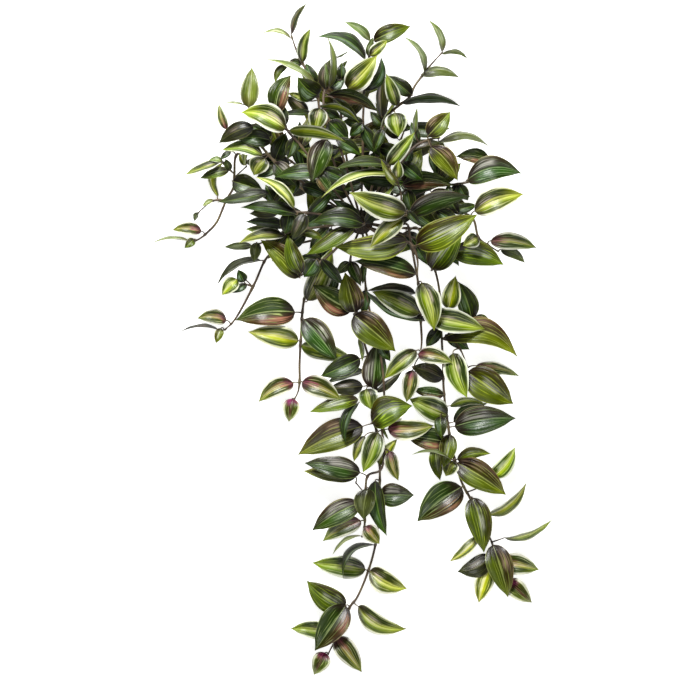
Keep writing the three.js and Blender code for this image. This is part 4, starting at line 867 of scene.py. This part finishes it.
# ---- meshes ----
class Sheaf:
    """Points, faces and per-point values gathered for one piece, in millimetres."""

    def __init__(self):
        self.points, self.faces, self.skins, self.values = [], [], [], []
        self.sharp = set()
        self.materials = []

    def skin(self, material):
        if material not in self.materials:
            self.materials.append(material)
        return self.materials.index(material)

    def tube(self, centres, radii, sides, material):
        """A closed tube round the centres, whose ends are capped."""
        skin, first = self.skin(material), len(self.points)
        normal = None
        for i, centre in enumerate(centres):
            ahead = unit(centres[min(i + 1, len(centres) - 1)] - centres[max(i - 1, 0)])
            if normal is None:
                normal = unit(np.cross(ahead, OFF_ANY_STEM))
            normal = unit(normal - ahead * np.dot(normal, ahead))
            across = np.cross(ahead, normal)
            for k in range(sides):
                angle = 2 * math.pi * k / sides
                out = normal * math.cos(angle) + across * math.sin(angle)
                self.points.append(centre + radii[i] * out)
                self.values.append((0.0, i / max(1, len(centres) - 1), 0.5))
        for i in range(len(centres) - 1):
            for k in range(sides):
                a, b = first + i * sides + k, first + i * sides + (k + 1) % sides
                self.faces.append((a, b, b + sides, a + sides))
                self.skins.append(skin)
        last = first + (len(centres) - 1) * sides
        self.faces.append(tuple(range(first + sides - 1, first - 1, -1)))
        self.faces.append(tuple(range(last, last + sides)))
        self.skins += [skin, skin]

    def blade(self, pose, kind, seed):
        """A closed blade: rings from its base to its tip, each over its upper side and back below it."""
        upper = self.skin(LEAF_SKINS[UPPER.get(kind, kind)])
        lower = self.skin(UNDER_SKINS[LOWER.get(kind, "grey")])
        shares = [2 * j / (LEAF_COLUMNS - 1) - 1 for j in range(LEAF_COLUMNS)]
        # across is signed so that its positive end is the blade's upper edge as the plant lies, towards the
        # key light: the side where the S and B leaves' upper halves are partly painted reflection.
        up = 1 if pose.side[1] >= 0 else -1
        first = len(self.points)
        ring = 2 * LEAF_COLUMNS - 2
        for i in range(LEAF_RINGS):
            t = (i / LEAF_RINGS) ** RING_SPACING_POWER
            half = max(drawn_out_share(t) * pose.width / 2, PETIOLE_TOP_RADIUS * (1 - t))
            middle = pose.midrib(t)
            for top, columns in ((1, range(LEAF_COLUMNS)), (-1, range(LEAF_COLUMNS - 2, 0, -1))):
                for j in columns:
                    u = shares[j]
                    height = blade_height(t, u, half, seed) + top * leaf_half_thickness(u)
                    self.points.append(middle - pose.side * half * u + pose.face * height)
                    self.values.append((-u * up, t, seed))
        tip = len(self.points)
        self.points.append(pose.tip)
        self.values.append((0.0, 1.0, seed))
        for i in range(LEAF_RINGS):
            for k in range(ring):
                a, b = first + i * ring + k, first + i * ring + (k + 1) % ring
                face = (a, a + ring, b + ring, b) if i + 1 < LEAF_RINGS else (a, tip, b)
                self.faces.append(face)
                self.skins.append(upper if k < LEAF_COLUMNS - 1 else lower)
            for k in (0, LEAF_COLUMNS - 1):
                a = first + i * ring + k
                self.sharp.add((a, a + ring if i + 1 < LEAF_RINGS else tip))
        self.faces.append(tuple(range(first, first + ring)))
        self.skins.append(lower)

    def piece(self, name):
        """The gathered points and faces as one object, with the values as attributes."""
        mesh = bpy.data.meshes.new(name)
        mesh.from_pydata([tuple(p * MM) for p in self.points], [], self.faces)
        for material in self.materials:
            mesh.materials.append(material)
        mesh.polygons.foreach_set("material_index", self.skins)
        mesh.polygons.foreach_set("use_smooth", [True] * len(self.faces))
        for column, label in enumerate(("across", "along", "seed")):
            layer = mesh.attributes.new(label, "FLOAT", "POINT")
            layer.data.foreach_set("value", [v[column] for v in self.values])
        sharp = {tuple(sorted(edge)) for edge in self.sharp}
        layer = mesh.attributes.new("sharp_edge", "BOOLEAN", "EDGE")
        layer.data.foreach_set("value", [tuple(sorted(e.vertices)) in sharp for e in mesh.edges])
        mesh.update()
        piece = bpy.data.objects.new(name, mesh)
        bpy.context.scene.collection.objects.link(piece)
        return piece


def blade_height(t, u, half, seed):
    """How far the blade stands above its midrib, across it: a fold, a swell, veins and a wavy edge."""
    fold = FOLD * half * abs(u) ** FOLD_POWER
    swell = CROSS_SWELL * half * math.sin(math.pi * abs(u))
    veins = VEIN_RELIEF * half * math.cos(VEIN_RIDGES * math.pi * u) * (1 - u * u)
    turns = EDGE_WAVES * t + seed + (EDGE_WAVE_OFFSET if u > 0 else 0)
    wave = EDGE_WAVE * half * u * u * math.sin(2 * math.pi * turns)
    return fold + swell + veins + wave


def drawn_out_share(t):
    """The blade's half width, as the solid's but drawn out to a finer point at its tip."""
    late = min(1, max(0, (t - DRAWN_OUT_FROM) / (1 - DRAWN_OUT_FROM)))
    return half_width_share(t) ** (1 + DRAWN_OUT * late)


def leaf_half_thickness(u):
    return LEAF_THICKNESS / 2 * (1 - abs(u) ** EDGE_THINNING_POWER)


def tube_radii(curve, count, radius, joints):
    """A stem's radius along its length: swollen at its joints, and tapering to its tip."""
    radii = []
    for i in range(count + 1):
        at = curve.length * i / count
        taper = min(1, (curve.length - at) / STEM_TAPER)
        swell = sum(math.exp(-(((at - joint) / JOINT_LENGTH) ** 2)) for joint in joints)
        thin = STEM_TIP_RADIUS + (radius - STEM_TIP_RADIUS) * taper
        radii.append(thin + JOINT_SWELL * min(1, swell))
    return radii


def petiole(root, pose):
    """Points from the stem to the blade, which leave the stem gently and run into the midrib."""
    reach = np.linalg.norm(pose.base - root)
    bend = pose.base - pose.along * PETIOLE_IN_LINE * reach
    bend = bend + (root - bend) * PETIOLE_BEND_BACK
    shares = [k / PETIOLE_STEPS for k in range(PETIOLE_STEPS + 1)]
    points = [root * (1 - s) ** 2 + bend * 2 * s * (1 - s) + pose.base * s * s for s in shares]
    points.append(pose.midrib(PETIOLE_INTO_BLADE))
    return points


def dress(stem, seeds, painted_shade_lightest):
    """The fine piece for a stem's node. The last argument, 0 to 1, keeps its leaves' draws low and so dark:
    painted shade.
    """
    angle, height = stem["from"]
    out = [math.cos(math.radians(angle)), math.sin(math.radians(angle))]
    start = [STEM_SUNK_TO_RADIUS * out[0], STEM_SUNK_TO_RADIUS * out[1], height]
    curves = [Curve([start, *stem["path"]])] + [Curve(twig) for twig in stem["twigs"]]
    rows = stem["leaves"] or alternate_leaves(curves[0], make_draw(stem["seed"]))
    coarse = [c.spaced(max(2, math.ceil(c.length / STEM_STEP))) for c in curves]
    fine = [c.spaced(math.ceil(c.length / STEM_SPACING)) for c in curves]
    tree = cad_points(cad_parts[stem["name"]])
    sheaf = Sheaf()
    joints = [[] for _ in curves]
    poses = []
    for row in rows:
        pose, share = bent_pose(row, nearest_on(coarse, row[0], row[1]), tree)
        if share < LEAST_MATCH:
            print("leaf not found among its node's points:", stem["name"], row, round(share, 2))
        root = nearest_on(fine, row[0], row[1])
        distances = [[np.linalg.norm(p - root) for p in points] for points in fine]
        which = min(range(len(curves)), key=lambda k: min(distances[k]))
        at = int(np.argmin(distances[which]))
        joints[which].append(curves[which].length * at / (len(fine[which]) - 1))
        poses.append((pose, root, row[8]))
    for k, (curve, points) in enumerate(zip(curves, fine)):
        radius = TWIG_RADIUS if k else STEM_RADIUS
        radii = tube_radii(curve, len(points) - 1, radius, joints[k])
        sheaf.tube(points, radii, STEM_SIDES, STEM_SKIN)
    for pose, root, kind in poses:
        points = petiole(root, pose)
        step = (PETIOLE_ROOT_RADIUS - PETIOLE_TOP_RADIUS) / (len(points) - 1)
        radii = [PETIOLE_ROOT_RADIUS - step * i for i in range(len(points))]
        sheaf.tube(points, radii, PETIOLE_SIDES, STEM_SKIN)
        sheaf.blade(pose, kind, painted_shade_lightest * seeds())
    piece = sheaf.piece(stem["name"].replace("stem_", "spray_"))
    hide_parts(stem["name"])
    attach(piece, "root")


seeds = make_draw(LOOKS_SEED)
for stem in STEMS:
    dress(stem, seeds, 1.0)
# the back stems, their leaves darkened as painted shade
for stem in BACK_STEMS:
    dress(stem, seeds, BACK_PAINTED_SHADE_LIGHTEST)

# The crown keeps its CAD shape and gets its fibrous look.
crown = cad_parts["crown"]
crown.data.materials.clear()
crown.data.materials.append(crown_material())


# ---- the stage ----
def make_floor():
    bpy.ops.mesh.primitive_plane_add(size=FLOOR_SIZE, location=(0, 0, -FLOOR_DROP))
    floor = bpy.context.active_object
    floor.name = "floor"
    floor.data.materials.append(floor_material())


def area_light(name, place, size, watts):
    data = bpy.data.lights.new(name, "AREA")
    data.shape, data.size, data.energy = "DISK", size, watts
    light = bpy.data.objects.new(name, data)
    light.location = place
    light.rotation_euler = (Vector(LIGHTS_AIM) - Vector(place)).to_track_quat("-Z", "Y").to_euler()
    bpy.context.scene.collection.objects.link(light)


def make_camera():
    """A camera straight above, which frames the plant at its middle height as the photograph does."""
    middle = PIXELS / 2
    x = (middle - ORIGIN_PIXEL[0]) * MM_PER_PIXEL * MM
    y = (ORIGIN_PIXEL[1] - middle) * MM_PER_PIXEL * MM
    data = bpy.data.cameras.new("camera")
    data.sensor_width = SENSOR_MM
    data.lens = SENSOR_MM * (CAMERA_HEIGHT - CAMERA_AIM_HEIGHT) / (PIXELS * MM_PER_PIXEL * MM)
    data.clip_end = 100
    camera = bpy.data.objects.new("camera", data)
    camera.location = (x, y, CAMERA_HEIGHT)
    bpy.context.scene.collection.objects.link(camera)
    bpy.context.scene.camera = camera


def make_world():
    world = bpy.data.worlds.new("studio")
    world.use_nodes = True
    background = world.node_tree.nodes["Background"]
    background.inputs["Color"].default_value = (1, 1, 1, 1)
    background.inputs["Strength"].default_value = WORLD_STRENGTH
    bpy.context.scene.world = world


make_floor()
make_camera()
make_world()
for light in LIGHTS:
    area_light(*light)
bpy.context.scene.view_settings.view_transform = "Standard"
